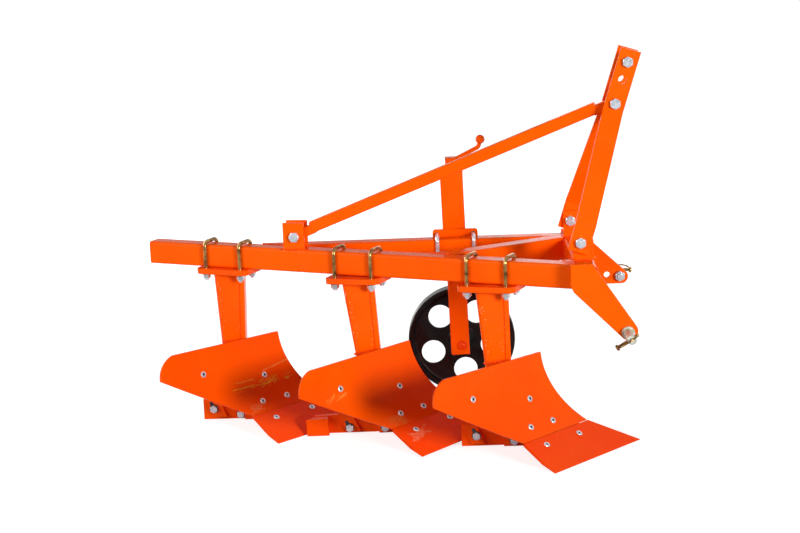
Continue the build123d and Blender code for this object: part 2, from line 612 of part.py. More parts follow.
# cast wheel's half section: radius, and distance inwards from the rim's near face
hub_r, lip_r, band_r = AXLE_R + 0.1, WHEEL_R - 13.5, WHEEL_R - 6.5
section = [
    (hub_r, -4),
    (23, -4),
    (25, -2),
    (32, 5),
    (36, 9),
    (lip_r - 9, 9),
    (lip_r - 3, 7),
    (lip_r, 2),
    (lip_r + 2, 0),
    (WHEEL_R - 2.5, 0),
    (WHEEL_R, 2.5),
    (WHEEL_R, WHEEL_W - 2.5),
    (WHEEL_R - 2.5, WHEEL_W),
    (band_r - 2, WHEEL_W),
    (band_r, WHEEL_W - 6),
    (band_r, 20),
    (band_r - 6, 15),
    (30, 15),
    (25, 20),
    (23, 51),
    (hub_r, 51),
]
wheel = turned((WHEEL_X, WHEEL_NEAR, WHEEL_Z), (0, 1, 0), section)
for i in range(WHEEL_HOLES):
    a = math.radians(WHEEL_HOLE_TURN + 360 / WHEEL_HOLES * i)
    x, z = WHEEL_X + WHEEL_HOLES_AT * math.cos(a), WHEEL_Z + WHEEL_HOLES_AT * math.sin(a)
    wheel -= rod((x, WHEEL_NEAR - 20, z), (x, WHEEL_NEAR + 60, z), WHEEL_HOLE_R)
parts["depth_wheel"] = leaning(wheel)
washer_y = WHEEL_NEAR + 52
washer = rod((WHEEL_X, washer_y, WHEEL_Z), (WHEEL_X, washer_y + 4, WHEEL_Z), 19)
washer -= rod((WHEEL_X, washer_y - 5, WHEEL_Z), (WHEEL_X, washer_y + 9, WHEEL_Z), AXLE_R)
parts["wheel_washer"] = leaning(washer)

knob_x, knob_z = KNOB
screw_top = SLEEVE_TOP + 36
crank = rod((SLEEVE_X, sleeve_mid, 440), (SLEEVE_X, sleeve_mid, screw_top), SCREW_R)
crank += Pos(SLEEVE_X, sleeve_mid, screw_top - 13.5) * Box(28, 28, 27)
bend = [(SLEEVE_X + 8, screw_top - 8), (knob_x - 5, knob_z - 20), (knob_x, knob_z)]
crank += bent_rod([(x, sleeve_mid, z) for x, z in bend], CRANK_R, 14)
crank += Pos(knob_x, sleeve_mid, knob_z) * Sphere(KNOB_R)
parts["depth_crank"] = leaning(crank)

# ================================================================ write the pieces
os.makedirs("parts", exist_ok=True)
low, high = [1e9] * 3, [-1e9] * 3
for name, piece in parts.items():
    solids = [s.moved(Location(tuple(SHIFT))) for s in piece.solids()]
    whole = solids[0] if len(solids) == 1 else Compound(solids)
    whole.label = name
    export_step(whole, f"parts/{name}.step")
    box = whole.bounding_box()
    low = [min(a, b) for a, b in zip(low, tuple(box.min))]
    high = [max(a, b) for a, b in zip(high, tuple(box.max))]
    print(name, len(solids), round(sum(s.volume for s in solids) / 1000, 1), "cm3")
print("box", [round(v, 1) for v in low], [round(v, 1) for v in high])
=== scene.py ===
"""Looks of a three-furrow mounted mouldboard plough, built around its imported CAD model.

Metres. +X is the direction of travel, +Y the land side, +Z up, and the floor is at z = 0.
Fittings are placed in the plough's own layout, in millimetres from the front share's point,
and layout() turns those places into metres in the frame of the CAD.
"""

import math
import random

import bmesh
import bpy
from mathutils import Matrix, Vector


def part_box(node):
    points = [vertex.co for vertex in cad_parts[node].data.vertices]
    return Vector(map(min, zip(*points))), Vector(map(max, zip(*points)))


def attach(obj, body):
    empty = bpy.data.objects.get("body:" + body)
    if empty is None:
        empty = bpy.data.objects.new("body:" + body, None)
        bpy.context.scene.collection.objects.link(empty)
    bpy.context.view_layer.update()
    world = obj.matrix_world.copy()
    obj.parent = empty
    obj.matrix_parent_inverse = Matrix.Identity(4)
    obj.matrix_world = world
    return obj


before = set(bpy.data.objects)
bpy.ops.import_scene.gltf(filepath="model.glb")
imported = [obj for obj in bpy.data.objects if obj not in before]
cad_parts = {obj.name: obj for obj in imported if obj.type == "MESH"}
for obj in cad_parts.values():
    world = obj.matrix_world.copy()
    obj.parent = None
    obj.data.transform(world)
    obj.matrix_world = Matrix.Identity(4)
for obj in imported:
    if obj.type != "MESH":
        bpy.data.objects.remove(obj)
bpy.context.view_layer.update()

random.seed(7)

MM = 0.001
SHARE_POINT = Vector((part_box("share_front")[1].x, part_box("mouldboard_front")[1].y, 0.0))
RIGHT = Vector((0.0, -1.0, 0.0))
LAND = Vector((0.0, 1.0, 0.0))
UP = Vector((0.0, 0.0, 1.0))
FRONT = Vector((1.0, 0.0, 0.0))

# ------------------------------------------------------------------ layout of the plough
BODY_STEP = Vector((-340.0, 159.3, 0.0))  # one plough body to the next
BODY_PIVOT = Vector((-352.0, 0.0, 377.0))  # a body leans and turns about this place under the beam
BODIES = {
    # stations behind the front body, drop, lean, turn, lean of the leg alone, tilt of its pad
    "front": (0.0, 0.0, 0.0, 0.0, 0.0, 2.0),
    "middle": (0.983, 2.5, 2.6, 0.0, 0.0, 2.6),
    "rear": (2.008, 0.0, 0.0, -0.9, -2.4, 0.5),
}
FRAME_TOP = 482.0  # beam, cross tube, land beam and brace
FRAME_LOW = 422.0
BEAM_AT_LEG = Vector((-366.0, -18.0, 0.0))  # the beam's middle line over the front leg
BEAM_DIR = BODY_STEP.normalized()
BEAM_ACROSS = Vector((BEAM_DIR.y, -BEAM_DIR.x, 0.0))
PAD_THICK = 14.0
PAD_EDGE = -287.0  # a tilted pad bears on the beam here
U_BOLT_HALF = 30.5  # from the beam's middle line to a U-bolt's leg
U_BOLT_STATION = 52.0  # from the leg's middle to a U-bolt, along the beam
LEG_NEAR = -42.0  # the leg's face on the right
SHARE_ANGLE = math.radians(47.4)
SHARE_PITCH = math.radians(29.7)
EDGE = Vector((math.cos(SHARE_ANGLE), math.sin(SHARE_ANGLE), 0.0))  # along the cutting edge
BACK = Vector((-EDGE.y, EDGE.x, 0.0))
ROLL_BACK = -97.5  # the axis that the mouldboard is rolled about, behind the cutting edge
ROLL_HIGH = 255.6
ROLL_RADIUS = 280.0
WHEEL_AXLE = Vector((-441.5, 312.0, 180.0))
POST_MIDDLE = Vector((-447.0, 342.0, 0.0))
POST_PIVOT = 392.0  # the post leans about its place at this height
POST_LEAN = math.radians(1.2)
MAST_FOOT = Vector((-149.0, 80.0, 526.0))  # between the two foot bolts
MAST_LEAN = math.radians(17.6)
STAY_BOLT_UP = 335.0  # along the mast from its foot
TOP_LINK_UP = 441.0
STAY_REAR = Vector((-859.0, 212.0, FRAME_TOP))


def layout(place):
    """A place in millimetres from the front share's point, in metres in the CAD's frame."""
    return SHARE_POINT + Vector(place) * MM


def body_turn(name):
    """How a body leans and turns."""
    _, _, lean, turn, _, _ = BODIES[name]
    return Matrix.Rotation(math.radians(turn), 3, "Z") @ Matrix.Rotation(math.radians(-lean), 3, "Y")


def body_place(name, place):
    """Moves a place on the front body to the same place on another body."""
    station, drop = BODIES[name][:2]
    return body_turn(name) @ (Vector(place) - BODY_PIVOT) + BODY_PIVOT + BODY_STEP * station - UP * drop


def post_place(place):
    """A place on the depth wheel's post or its sleeve, leaned with them."""
    pivot = Vector((POST_MIDDLE.x, 0.0, POST_PIVOT))
    return Matrix.Rotation(-POST_LEAN, 3, "Y") @ (Vector(place) - pivot) + pivot


def leg_place(name, x, y, z):
    """A place on a leg, with the leg's own lean and its body's."""
    lean = BODIES[name][4]
    turned = Matrix.Rotation(math.radians(-lean), 3, "Y") @ (Vector((x, y, z)) - BODY_PIVOT) + BODY_PIVOT
    return body_place(name, turned)


def mast_place(up, y):
    """A place on the mast: up along its lean from its foot bolts."""
    return Vector((MAST_FOOT.x + math.sin(MAST_LEAN) * up, y, MAST_FOOT.z + math.cos(MAST_LEAN) * up))


def board_place(along, height):
    """A place on the mouldboard's hollow face: along its edge and above the floor."""
    behind = ROLL_BACK + math.sqrt(ROLL_RADIUS**2 - (ROLL_HIGH - height) ** 2)
    return EDGE * along + BACK * behind + UP * height


def board_way(place):
    """The way out of the mouldboard's hollow face."""
    behind = Vector(place).dot(BACK)
    return (BACK * (ROLL_BACK - behind) + UP * (ROLL_HIGH - place[2])).normalized()


SHARE_WAY = (UP * math.cos(SHARE_PITCH) - BACK * math.sin(SHARE_PITCH)).normalized()
STAY_WAY = mast_place(STAY_BOLT_UP, MAST_FOOT.y) - STAY_REAR
STAY_WAY = Vector((STAY_WAY.x, STAY_WAY.y, 0.0)).normalized()
STAY_SIDE = Vector((-STAY_WAY.y, STAY_WAY.x, 0.0))


# ------------------------------------------------------------------ shader helpers
def srgb(red, green, blue):
    """A colour given in 0 to 255, as the linear RGBA that Blender works in."""
    shares = [v / 255 for v in (red, green, blue)]
    return (*(v / 12.92 if v <= 0.04045 else ((v + 0.055) / 1.055) ** 2.4 for v in shares), 1.0)


def node(tree, kind, inputs=None, **settings):
    """A shader node. inputs maps a socket's name or number to a value or to another node's output."""
    new = tree.nodes.new("ShaderNode" + kind)
    for key, value in settings.items():
        setattr(new, key, value)
    for key, value in (inputs or {}).items():
        if isinstance(value, bpy.types.NodeSocket):
            tree.links.new(value, new.inputs[key])
        else:
            new.inputs[key].default_value = value
    return new


def effect(name, numbers, outputs):
    """An empty effect group with number inputs and number or vector outputs."""
    tree = bpy.data.node_groups.new(name, "ShaderNodeTree")
    for label, value in numbers.items():
        socket = tree.interface.new_socket(label, in_out="INPUT", socket_type="NodeSocketFloat")
        socket.default_value = value
    for label, kind in outputs.items():
        tree.interface.new_socket(label, in_out="OUTPUT", socket_type="NodeSocket" + kind)
    return tree, tree.nodes.new("NodeGroupInput").outputs, tree.nodes.new("NodeGroupOutput").inputs


def use(tree, group, **numbers):
    """Places an effect group and sets its numbers; an underscore in a name is a space."""
    new = tree.nodes.new("ShaderNodeGroup")
    new.node_tree = group
    for key, value in numbers.items():
        new.inputs[key.replace("_", " ")].default_value = value
    return new.outputs


def calc(tree, operation, first, second=0.0, clamp=False):
    """One step of arithmetic."""
    return node(tree, "Math", {0: first, 1: second}, operation=operation, use_clamp=clamp).outputs[0]


def product(tree, *values):
    """Several numbers multiplied."""
    total = values[0]
    for value in values[1:]:
        total = calc(tree, "MULTIPLY", total, value)
    return total


def larger(tree, first, second):
    """The larger of two numbers."""
    return calc(tree, "MAXIMUM", first, second)


def ramp(tree, value, low, high, to_low=0.0, to_high=1.0):
    """Maps low to to_low and high to to_high, smoothly between them and clamped outside."""
    sockets = {"Value": value, "From Min": low, "From Max": high, "To Min": to_low, "To Max": to_high}
    return node(tree, "MapRange", sockets, interpolation_type="SMOOTHSTEP").outputs["Result"]


def mix(tree, share, first, second):
    """Mixes two colours."""
    new = node(tree, "Mix", {"Factor": share}, data_type="RGBA")
    for place, value in ((6, first), (7, second)):
        if isinstance(value, bpy.types.NodeSocket):
            tree.links.new(value, new.inputs[place])
        else:
            new.inputs[place].default_value = value
    return new.outputs[2]


def here(tree):
    """The place on the piece, in its own coordinates."""
    return node(tree, "TexCoord").outputs["Object"]


def noise(tree, scale, detail=3.0, roughness=0.5, vector=None):
    """Noise in the piece's own coordinates, in features per metre."""
    sockets = {"Vector": vector or here(tree), "Scale": scale, "Detail": detail, "Roughness": roughness}
    return node(tree, "TexNoise", sockets).outputs["Fac"]


def dot(tree, first, second):
    """Dot product of two vectors."""
    return node(tree, "VectorMath", {0: first, 1: second}, operation="DOT_PRODUCT").outputs["Value"]


# ------------------------------------------------------------------ effects shared by the materials
def build_rounded_edges():
    """Softened edges for the light, and a broken mask of where an edge has rubbed."""
    tree, given, made = effect(
        "rounded_edges", {"Radius": 0.0015, "Rubbed": 0.5}, {"Normal": "Vector", "Mask": "Float"}
    )
    soft = node(tree, "Bevel", {"Radius": given["Radius"]}, samples=6).outputs[0]
    agree = dot(tree, soft, node(tree, "NewGeometry").outputs["Normal"])
    edge = ramp(tree, agree, 0.995, 0.86)
    broken = ramp(tree, noise(tree, 85.0, 5.0, 0.7), 0.56, 0.66)
    tree.links.new(soft, made["Normal"])
    tree.links.new(product(tree, edge, broken, given["Rubbed"]), made["Mask"])
    return tree


def build_sprayed_film():
    """Height of a sprayed paint film: orange peel, slow sags and fine dust caught in it."""
    tree, given, made = effect("sprayed_film", {"Peel": 0.4, "Sag": 0.6, "Nibs": 0.0}, {"Height": "Float"})
    peel = product(tree, noise(tree, 420.0, 2.0), given["Peel"])
    sag = product(tree, noise(tree, 16.0, 2.0), given["Sag"])
    cells = node(tree, "TexVoronoi", {"Vector": here(tree), "Scale": 95.0, "Randomness": 1.0}).outputs
    speck = ramp(tree, cells["Distance"], 0.17, 0.05)
    few = ramp(tree, node(tree, "SeparateColor", {"Color": cells["Color"]}).outputs["Red"], 0.86, 0.9)
    patch = ramp(tree, noise(tree, 9.0, 1.0), 0.46, 0.6)
    nibs = product(tree, speck, few, patch, given["Nibs"])
    tree.links.new(calc(tree, "ADD", calc(tree, "ADD", peel, sag), nibs), made["Height"])
    return tree


def build_scuffs():
    """Mask of long thin scratches that run one way, in a few patches."""
    tree, given, made = effect("scuffs", {"Amount": 0.5, "Turn": 0.6}, {"Mask": "Float"})
    sockets = {"Vector": here(tree), "Angle": given["Turn"]}
    turned = node(tree, "VectorRotate", sockets, rotation_type="Z_AXIS").outputs[0]
    stretch = node(tree, "VectorMath", {0: turned, 1: (6.0, 420.0, 420.0)}, operation="MULTIPLY")
    lines = ramp(tree, noise(tree, 1.0, 4.0, 0.6, stretch.outputs[0]), 0.70, 0.76)
    patch = ramp(tree, noise(tree, 7.0, 2.0), 0.55, 0.68)
    mask = calc(tree, "MULTIPLY", calc(tree, "MULTIPLY", lines, patch), given["Amount"], True)
    tree.links.new(mask, made["Mask"])
    return tree


def build_grime():
    """Mask of thin dust and handling marks, in soft clouds."""
    tree, given, made = effect("grime", {"Amount": 0.4}, {"Mask": "Float"})
    cloud = ramp(tree, noise(tree, 11.0, 6.0, 0.62), 0.48, 0.78)
    fine = ramp(tree, noise(tree, 130.0, 3.0, 0.6), 0.3, 0.75)
    tree.links.new(calc(tree, "MULTIPLY", product(tree, cloud, fine), given["Amount"], True), made["Mask"])
    return tree


def build_rub():
    """Mask of one rubbed place on a share or mouldboard, made of scratches that lean one way. On the middle
    share its pale colour is a painted highlight as well.

    Along is measured along the body's cutting edge, Behind across it and Up above the floor, in
    metres from the origin of the frame, so that only one body gets the mark. Solid fills the place
    in, from separate scratches to a worn patch.
    """
    place = {"Along": 0.0, "Behind": 0.0, "Up": 0.1}
    size = {"Length": 0.05, "Width": 0.01}
    stroke = {"Slope": 0.0, "Lean": 0.3, "Solid": 0.0}
    tree, given, made = effect("rub", place | size | stroke, {"Mask": "Float"})
    where = here(tree)
    along = calc(tree, "SUBTRACT", dot(tree, where, tuple(EDGE)), given["Along"])
    behind = calc(tree, "SUBTRACT", dot(tree, where, tuple(BACK)), given["Behind"])
    up = calc(tree, "SUBTRACT", node(tree, "SeparateXYZ", {0: where}).outputs["Z"], given["Up"])
    up = calc(tree, "SUBTRACT", up, product(tree, along, given["Slope"]))
    wander = ramp(tree, noise(tree, 55.0, 2.0), 0.3, 0.7, -0.35, 0.35)

    def within(distance, reach, fade):
        """Mask that ends raggedly at a distance."""
        share = calc(tree, "DIVIDE", calc(tree, "ABSOLUTE", distance), reach)
        return ramp(tree, calc(tree, "ADD", share, wander), 1.0, fade)

    patch = product(tree, within(along, given["Length"], 0.7), within(up, given["Width"], 0.6))
    skew = calc(tree, "ADD", up, product(tree, along, given["Lean"]))
    flat = node(tree, "CombineXYZ", {0: product(tree, along, 16.0), 1: product(tree, skew, 300.0)}).outputs[0]
    lines = ramp(tree, noise(tree, 1.0, 3.0, 0.7, flat), 0.50, 0.58)
    grainy = ramp(tree, noise(tree, 190.0, 3.0), 0.3, 0.6)
    filled = larger(tree, lines, product(tree, given["Solid"], grainy))
    near = ramp(tree, calc(tree, "ABSOLUTE", behind), 0.15, 0.13)
    tree.links.new(product(tree, patch, filled, near), made["Mask"])
    return tree


ROUNDED_EDGES = build_rounded_edges()
SPRAYED_FILM = build_sprayed_film()
SCUFFS = build_scuffs()
GRIME = build_grime()
RUB = build_rub()


# ------------------------------------------------------------------ materials
def start_material(name):
    """A material with its Principled shader."""
    material = bpy.data.materials.new(name)
    material.use_nodes = True
    return material, material.node_tree, material.node_tree.nodes["Principled BSDF"]


def feed(tree, shader, **links):
    """Links outputs to the shader's sockets; an underscore in a name is a space."""
    for key, value in links.items():
        tree.links.new(value, shader.inputs[key.replace("_", " ")])


def fix(shader, **values):
    """Sets what is the same all over on the shader's own sockets; an underscore is a space."""
    for key, value in values.items():
        shader.inputs[key.replace("_", " ")].default_value = value


def bumped(tree, strength, distance, height, normal):
    """A bumped normal."""
    sockets = {"Strength": strength, "Distance": distance, "Height": height, "Normal": normal}
    return node(tree, "Bump", sockets).outputs[0]


def clouded(tree, scale, detail, smooth, matt):
    """Roughness that drifts between a smooth and a matt value."""
    return ramp(tree, noise(tree, scale, detail), 0.3, 0.75, smooth, matt)


PAINT_IOR = 1.2
HANDLED = (236, 112, 40)  # dust and handling marks on the orange
BARED = (206, 96, 30)  # orange rubbed thin on edges and in scuffs


def enamel(
    name, colour, deep, nibs=0.0, rubbed=0.5, scuffed=0.0, rubs=(), radius=0.0015, coat=0.25, shine=0.5
):
    """Glossy sprayed enamel. deep is its colour where the film lies thick, rubs the worn places; the middle
    share's rub is also painted pale as a painted highlight.
    """
    material, tree, shader = start_material(name)
    edges = use(tree, ROUNDED_EDGES, Radius=radius, Rubbed=rubbed)
    film = use(tree, SPRAYED_FILM, Peel=0.25, Sag=0.9, Nibs=nibs)
    scuffs = use(tree, SCUFFS, Amount=scuffed, Turn=0.7)
    grime = use(tree, GRIME, Amount=0.10)
    worn = larger(tree, edges["Mask"], scuffs["Mask"])
    paint = mix(tree, ramp(tree, noise(tree, 5.0, 2.0), 0.35, 0.7), srgb(*colour), srgb(*deep))
    paint = mix(tree, grime["Mask"], paint, srgb(*HANDLED))
    paint = mix(tree, worn, paint, srgb(*BARED))
    for body, along, height, length, width, slope, lean, solid, rub_colour in rubs:
        middle = layout(body_place(body, board_place(along, height)))
        place = {"Along": middle.dot(EDGE), "Behind": middle.dot(BACK), "Up": middle.z}
        rub = use(tree, RUB, **place, Length=length, Width=width, Slope=slope, Lean=lean, Solid=solid)
        paint = mix(tree, rub["Mask"], paint, srgb(*rub_colour))
        worn = larger(tree, worn, rub["Mask"])
    rough = calc(tree, "ADD", clouded(tree, 23.0, 4.0, 0.20, 0.32), grime["Mask"])
    rough = calc(tree, "ADD", rough, calc(tree, "MULTIPLY", worn, 0.3), True)
    normal = bumped(tree, 0.3, 0.0006, film["Height"], edges["Normal"])
    feed(tree, shader, Base_Color=paint, Roughness=rough, Normal=normal)
    fix(shader, IOR=PAINT_IOR, Specular_IOR_Level=shine)
    fix(shader, Coat_Weight=coat, Coat_Roughness=0.05, Coat_IOR=PAINT_IOR)
    return material


def zinc(name, colour, tint, polish=0.10, dents=1.8, metal=0.5):
    """Zinc plating: bright metal with faint crystal clouds; tint is the passivation's second colour."""
    material, tree, shader = start_material(name)
    edges = use(tree, ROUNDED_EDGES, Radius=0.0008, Rubbed=0.6)
    film = use(tree, SPRAYED_FILM, Peel=0.3, Sag=1.2, Nibs=0.0)
    grime = use(tree, GRIME, Amount=0.18)
    clouds = ramp(tree, noise(tree, 60.0, 3.0, 0.6), 0.38, 0.66)
    plating = mix(tree, clouds, srgb(*colour), srgb(*tint))
    worn = mix(tree, edges["Mask"], plating, srgb(225, 226, 228))
    dull = mix(tree, grime["Mask"], worn, srgb(110, 104, 96))
    rough = calc(tree, "ADD", clouded(tree, 90.0, 3.0, polish, polish + 0.16), grime["Mask"], True)
    dented = product(tree, noise(tree, 105.0, 1.0), dents * 5.0)
    height = calc(tree, "ADD", film["Height"], dented)
    normal = bumped(tree, 0.35, 0.0003, height, edges["Normal"])
    feed(tree, shader, Base_Color=dull, Roughness=rough, Normal=normal)
    fix(shader, Metallic=metal)
    return material


def two_tone_zinc(name, boundary):
    """Yellow zinc on the U-bolts above the clamp pads, bright zinc on the nuts below them."""
    material, tree, shader = start_material(name)
    edges = use(tree, ROUNDED_EDGES, Radius=0.0012, Rubbed=0.6)
    film = use(tree, SPRAYED_FILM, Peel=0.3, Sag=1.2, Nibs=0.0)
    grime = use(tree, GRIME, Amount=0.25)
    height = node(tree, "SeparateXYZ", {0: here(tree)}).outputs["Z"]
    above = ramp(tree, height, boundary - 0.0002, boundary + 0.0002)
    clouds = ramp(tree, noise(tree, 60.0, 3.0, 0.6), 0.38, 0.66)
    yellow = mix(tree, clouds, srgb(188, 146, 84), srgb(112, 80, 38))
    bright = mix(tree, clouds, srgb(224, 228, 232), srgb(192, 200, 208))
    dull = mix(tree, grime["Mask"], mix(tree, above, bright, yellow), srgb(104, 92, 74))
    rough = calc(tree, "ADD", clouded(tree, 90.0, 3.0, 0.12, 0.26), grime["Mask"], True)
    normal = bumped(tree, 0.25, 0.0003, film["Height"], edges["Normal"])
    feed(tree, shader, Base_Color=dull, Roughness=rough, Normal=normal)
    fix(shader, Metallic=0.75)
    return material


def cast_black(name):
    """Black enamel over a rough cast wheel, worn to grey on its rim."""
    material, tree, shader = start_material(name)
    edges = use(tree, ROUNDED_EDGES, Radius=0.0022, Rubbed=0.9)
    film = use(tree, SPRAYED_FILM, Peel=1.1, Sag=1.0, Nibs=1.2)
    grime = use(tree, GRIME, Amount=0.35)
    scuffs = use(tree, SCUFFS, Amount=0.35, Turn=0.2)
    clouds = ramp(tree, noise(tree, 30.0, 4.0), 0.4, 0.7)
    enamelled = mix(tree, clouds, srgb(11, 8, 9), srgb(19, 16, 17))
    dusty = mix(tree, grime["Mask"], enamelled, srgb(44, 38, 36))
    rubbed = mix(tree, larger(tree, edges["Mask"], scuffs["Mask"]), dusty, srgb(96, 92, 90))
    drift = ramp(tree, noise(tree, 45.0, 4.0), 0.3, 0.8, 0.24, 0.44)
    rough = calc(tree, "ADD", drift, grime["Mask"], True)
    normal = bumped(tree, 0.45, 0.001, film["Height"], edges["Normal"])
    feed(tree, shader, Base_Color=rubbed, Roughness=rough, Normal=normal)
    fix(shader, IOR=1.22, Coat_Weight=0.3, Coat_Roughness=0.1)
    return material


BOARD_RUBS = (
    # body, along the edge, height, half length, half width, slope, lean of the scratches, solid, colour
    ("rear", -258.0, 118.0, 0.092, 0.0060, 0.02, 0.02, 0.0, (255, 196, 66)),
    ("rear", -240.0, 120.0, 0.040, 0.0110, 0.02, -0.30, 0.0, (255, 190, 62)),
    ("rear", -312.0, 134.0, 0.036, 0.0022, 0.0, 0.0, 0.8, (255, 138, 60)),
    ("rear", -205.0, 153.0, 0.062, 0.0022, 0.12, -0.12, 0.9, (255, 138, 66)),
    ("rear", -314.0, 69.0, 0.026, 0.0110, 0.0, 0.2, 0.7, (250, 124, 72)),
    ("middle", -306.0, 69.0, 0.034, 0.0110, 0.0, -0.4, 0.3, (240, 130, 56)),
    ("middle", -446.0, 159.0, 0.034, 0.0050, 0.12, -0.25, 0.0, (255, 150, 64)),
    ("middle", -478.0, 160.0, 0.016, 0.0060, 0.35, -0.5, 0.0, (255, 146, 60)),
)
# a scratched place on the middle share, painted pale: wear, with a painted highlight in its colour
SHARE_RUBS_AND_HIGHLIGHT = (
    ("middle", -284.0, 36.0, 0.034, 0.0070, 0.1, 0.3, 0.6, (255, 148, 108)),
)
board_wear = {"rubbed": 0.9, "scuffed": 0.15, "rubs": BOARD_RUBS}
# edge wear and scuffs, and the middle share's painted highlight
share_wear_and_highlight = {"rubbed": 1.0, "scuffed": 0.3, "rubs": SHARE_RUBS_AND_HIGHLIGHT}
heel_wear = {"rubbed": 0.6, "scuffed": 0.2}
spatter_wear = {"rubbed": 0.0, "radius": 0.0003}
frame_enamel = enamel(
    "frame_enamel", (255, 94, 1), (255, 87, 1), nibs=0.3, radius=0.0026, coat=0.08, shine=0.25
)
leg_enamel = enamel("leg_enamel", (255, 92, 2), (255, 82, 1), nibs=2.0, rubbed=0.7, coat=0.15, shine=0.4)
board_enamel = enamel("board_enamel", (255, 88, 1), (255, 80, 1), coat=0.1, shine=0.35, **board_wear)
share_enamel = enamel("share_enamel", (255, 78, 2), (255, 70, 1), coat=0.0, shine=0.3, **share_wear_and_highlight)
heel_enamel = enamel("heel_enamel", (255, 90, 4), (250, 76, 3), nibs=1.0, coat=0.0, shine=0.25, **heel_wear)
weld_enamel = enamel("weld_enamel", (255, 84, 4), (244, 62, 2), nibs=2.0, rubbed=0.2, radius=0.0006)
bright_zinc = zinc("bright_zinc", (226, 232, 238), (190, 204, 218))
gold_zinc = zinc("gold_zinc", (176, 132, 66), (98, 72, 36), metal=0.85)
# zinc darkened as painted shade, for washers under heads and pads and for the frog's slot
shade_dark_zinc = zinc("shade_dark_zinc", (84, 82, 80), (52, 50, 50), polish=0.4)
pin_steel = zinc("pin_steel", (214, 214, 198), (170, 170, 150), polish=0.4, dents=0.2, metal=0.4)
# pale orange as a painted highlight: the glints on the drops of spatter
spatter_glint_enamel = enamel("spatter_glint_enamel", (255, 176, 120), (255, 132, 64), coat=1.0, **spatter_wear)
# black enamel of the wheel; it also fills the plough bolts' sockets as painted shade
black_enamel_and_socket_shade = cast_black("black_enamel_and_socket_shade")
u_bolt_zinc = two_tone_zinc("u_bolt_zinc", 0.41)


# ------------------------------------------------------------------ finishes of the CAD nodes
FINISHES = (
    # start of the node's name, finish
    ("mouldboard", board_enamel),
    ("share", share_enamel),
    ("leg", leg_enamel),
    ("landside", heel_enamel),
    ("board_stay", leg_enamel),
    ("u_bolts", u_bolt_zinc),
    ("depth_u_bolts", bright_zinc),
    ("depth_wheel", black_enamel_and_socket_shade),
    ("wheel_washer", bright_zinc),
    ("right_pin", pin_steel),
    ("left_pin", bright_zinc),
    ("mast_foot_bolts", bright_zinc),
    ("mast_top_bolt", bright_zinc),
    ("stay_front_bolt", bright_zinc),
    ("stay_rear_bolt", bright_zinc),
    ("", frame_enamel),
)


def finish_cad_nodes():
    """Gives every CAD node its material."""
    for name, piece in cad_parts.items():
        finish = next(f for start, f in FINISHES if name.startswith(start))
        piece.data.materials.clear()
        piece.data.materials.append(finish)


# ------------------------------------------------------------------ mesh helpers
SHARP_FROM = math.radians(38.0)  # edges with more turn than this stay sharp


def piece_from(name, mesh, finish, body="plough"):
    """Turns a bmesh into a piece that rides on a body."""
    data = bpy.data.meshes.new(name)
    bmesh.ops.recalc_face_normals(mesh, faces=mesh.faces)
    mesh.to_mesh(data)
    mesh.free()
    piece = bpy.data.objects.new(name, data)
    bpy.context.scene.collection.objects.link(piece)
    data.materials.append(finish)
    data.polygons.foreach_set("use_smooth", [True] * len(data.polygons))
    data.set_sharp_from_angle(angle=SHARP_FROM)
    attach(piece, body)
    return piece


def two_across(way):
    """Two directions across a direction."""
    way = Vector(way).normalized()
    first = way.cross(UP if abs(way.z) < 0.9 else FRONT).normalized()
    return first, way.cross(first)


def ring_about(middle, first, second, radius, sides):
    """Points of a circle; radius is a number or a function of the angle."""
    points = []
    for i in range(sides):
        turn = 2 * math.pi * i / sides
        reach = radius(turn) if callable(radius) else radius
        points.append(middle + (first * math.cos(turn) + second * math.sin(turn)) * reach)
    return points


def add_rings(mesh, rings):
    """Skins a row of rings of points with faces and closes both ends."""
    rows = [[mesh.verts.new(point) for point in ring] for ring in rings]
    count = len(rows[0])
    for near, far in zip(rows, rows[1:]):
        for i in range(count):
            j = (i + 1) % count
            mesh.faces.new((near[i], near[j], far[j], far[i]))
    mesh.faces.new(rows[0][::-1])
    mesh.faces.new(rows[-1])


def add_turned(mesh, start, way, outline, sides=24):
    """A turned shape: outline of (radius or reach at an angle, distance along), in metres."""
    start, way = Vector(start), Vector(way).normalized()
    first, second = two_across(way)
    rings = []
    for radius, out in outline:
        reach = radius if callable(radius) else max(radius, 1e-6)
        rings.append(ring_about(start + way * out, first, second, reach, sides))
    add_rings(mesh, rings)


def hexagonal(half):
    """Reach of a hexagon's side at an angle, half its width across flats."""
    return lambda turn: half / math.cos((turn + math.pi / 6) % (math.pi / 3) - math.pi / 6)


HEX_LEVELS = (
    # round rings close the ends: share of half the width across flats, level, way of the corners
    (0.97, 0.0, 0),
    (None, 0.0, 1),
    (None, 1.0, -1),
    (0.97, 1.0, 0),
    (0.6, 1.036, 0),
)
CORNERS_OFF = 0.58  # how deep a hexagon's corners are turned off, for their reach past the flats


def add_hex(mesh, start, way, flats, height):
    """A hexagon head or nut with its corners turned off at both ends."""
    way = Vector(way).normalized()
    first, second = two_across(way)
    half = flats / 2
    corner_reach = hexagonal(half)
    sides = 48
    rings = []
    for share, level, inwards in HEX_LEVELS:
        ring = []
        for i in range(sides):
            turn = 2 * math.pi * i / sides
            corner = corner_reach(turn)
            radius = half * share if share else corner
            out = height * level + inwards * (corner - half) * CORNERS_OFF
            middle = Vector(start) + way * out
            ring.append(middle + (first * math.cos(turn) + second * math.sin(turn)) * radius)
        rings.append(ring)
    add_rings(mesh, rings)


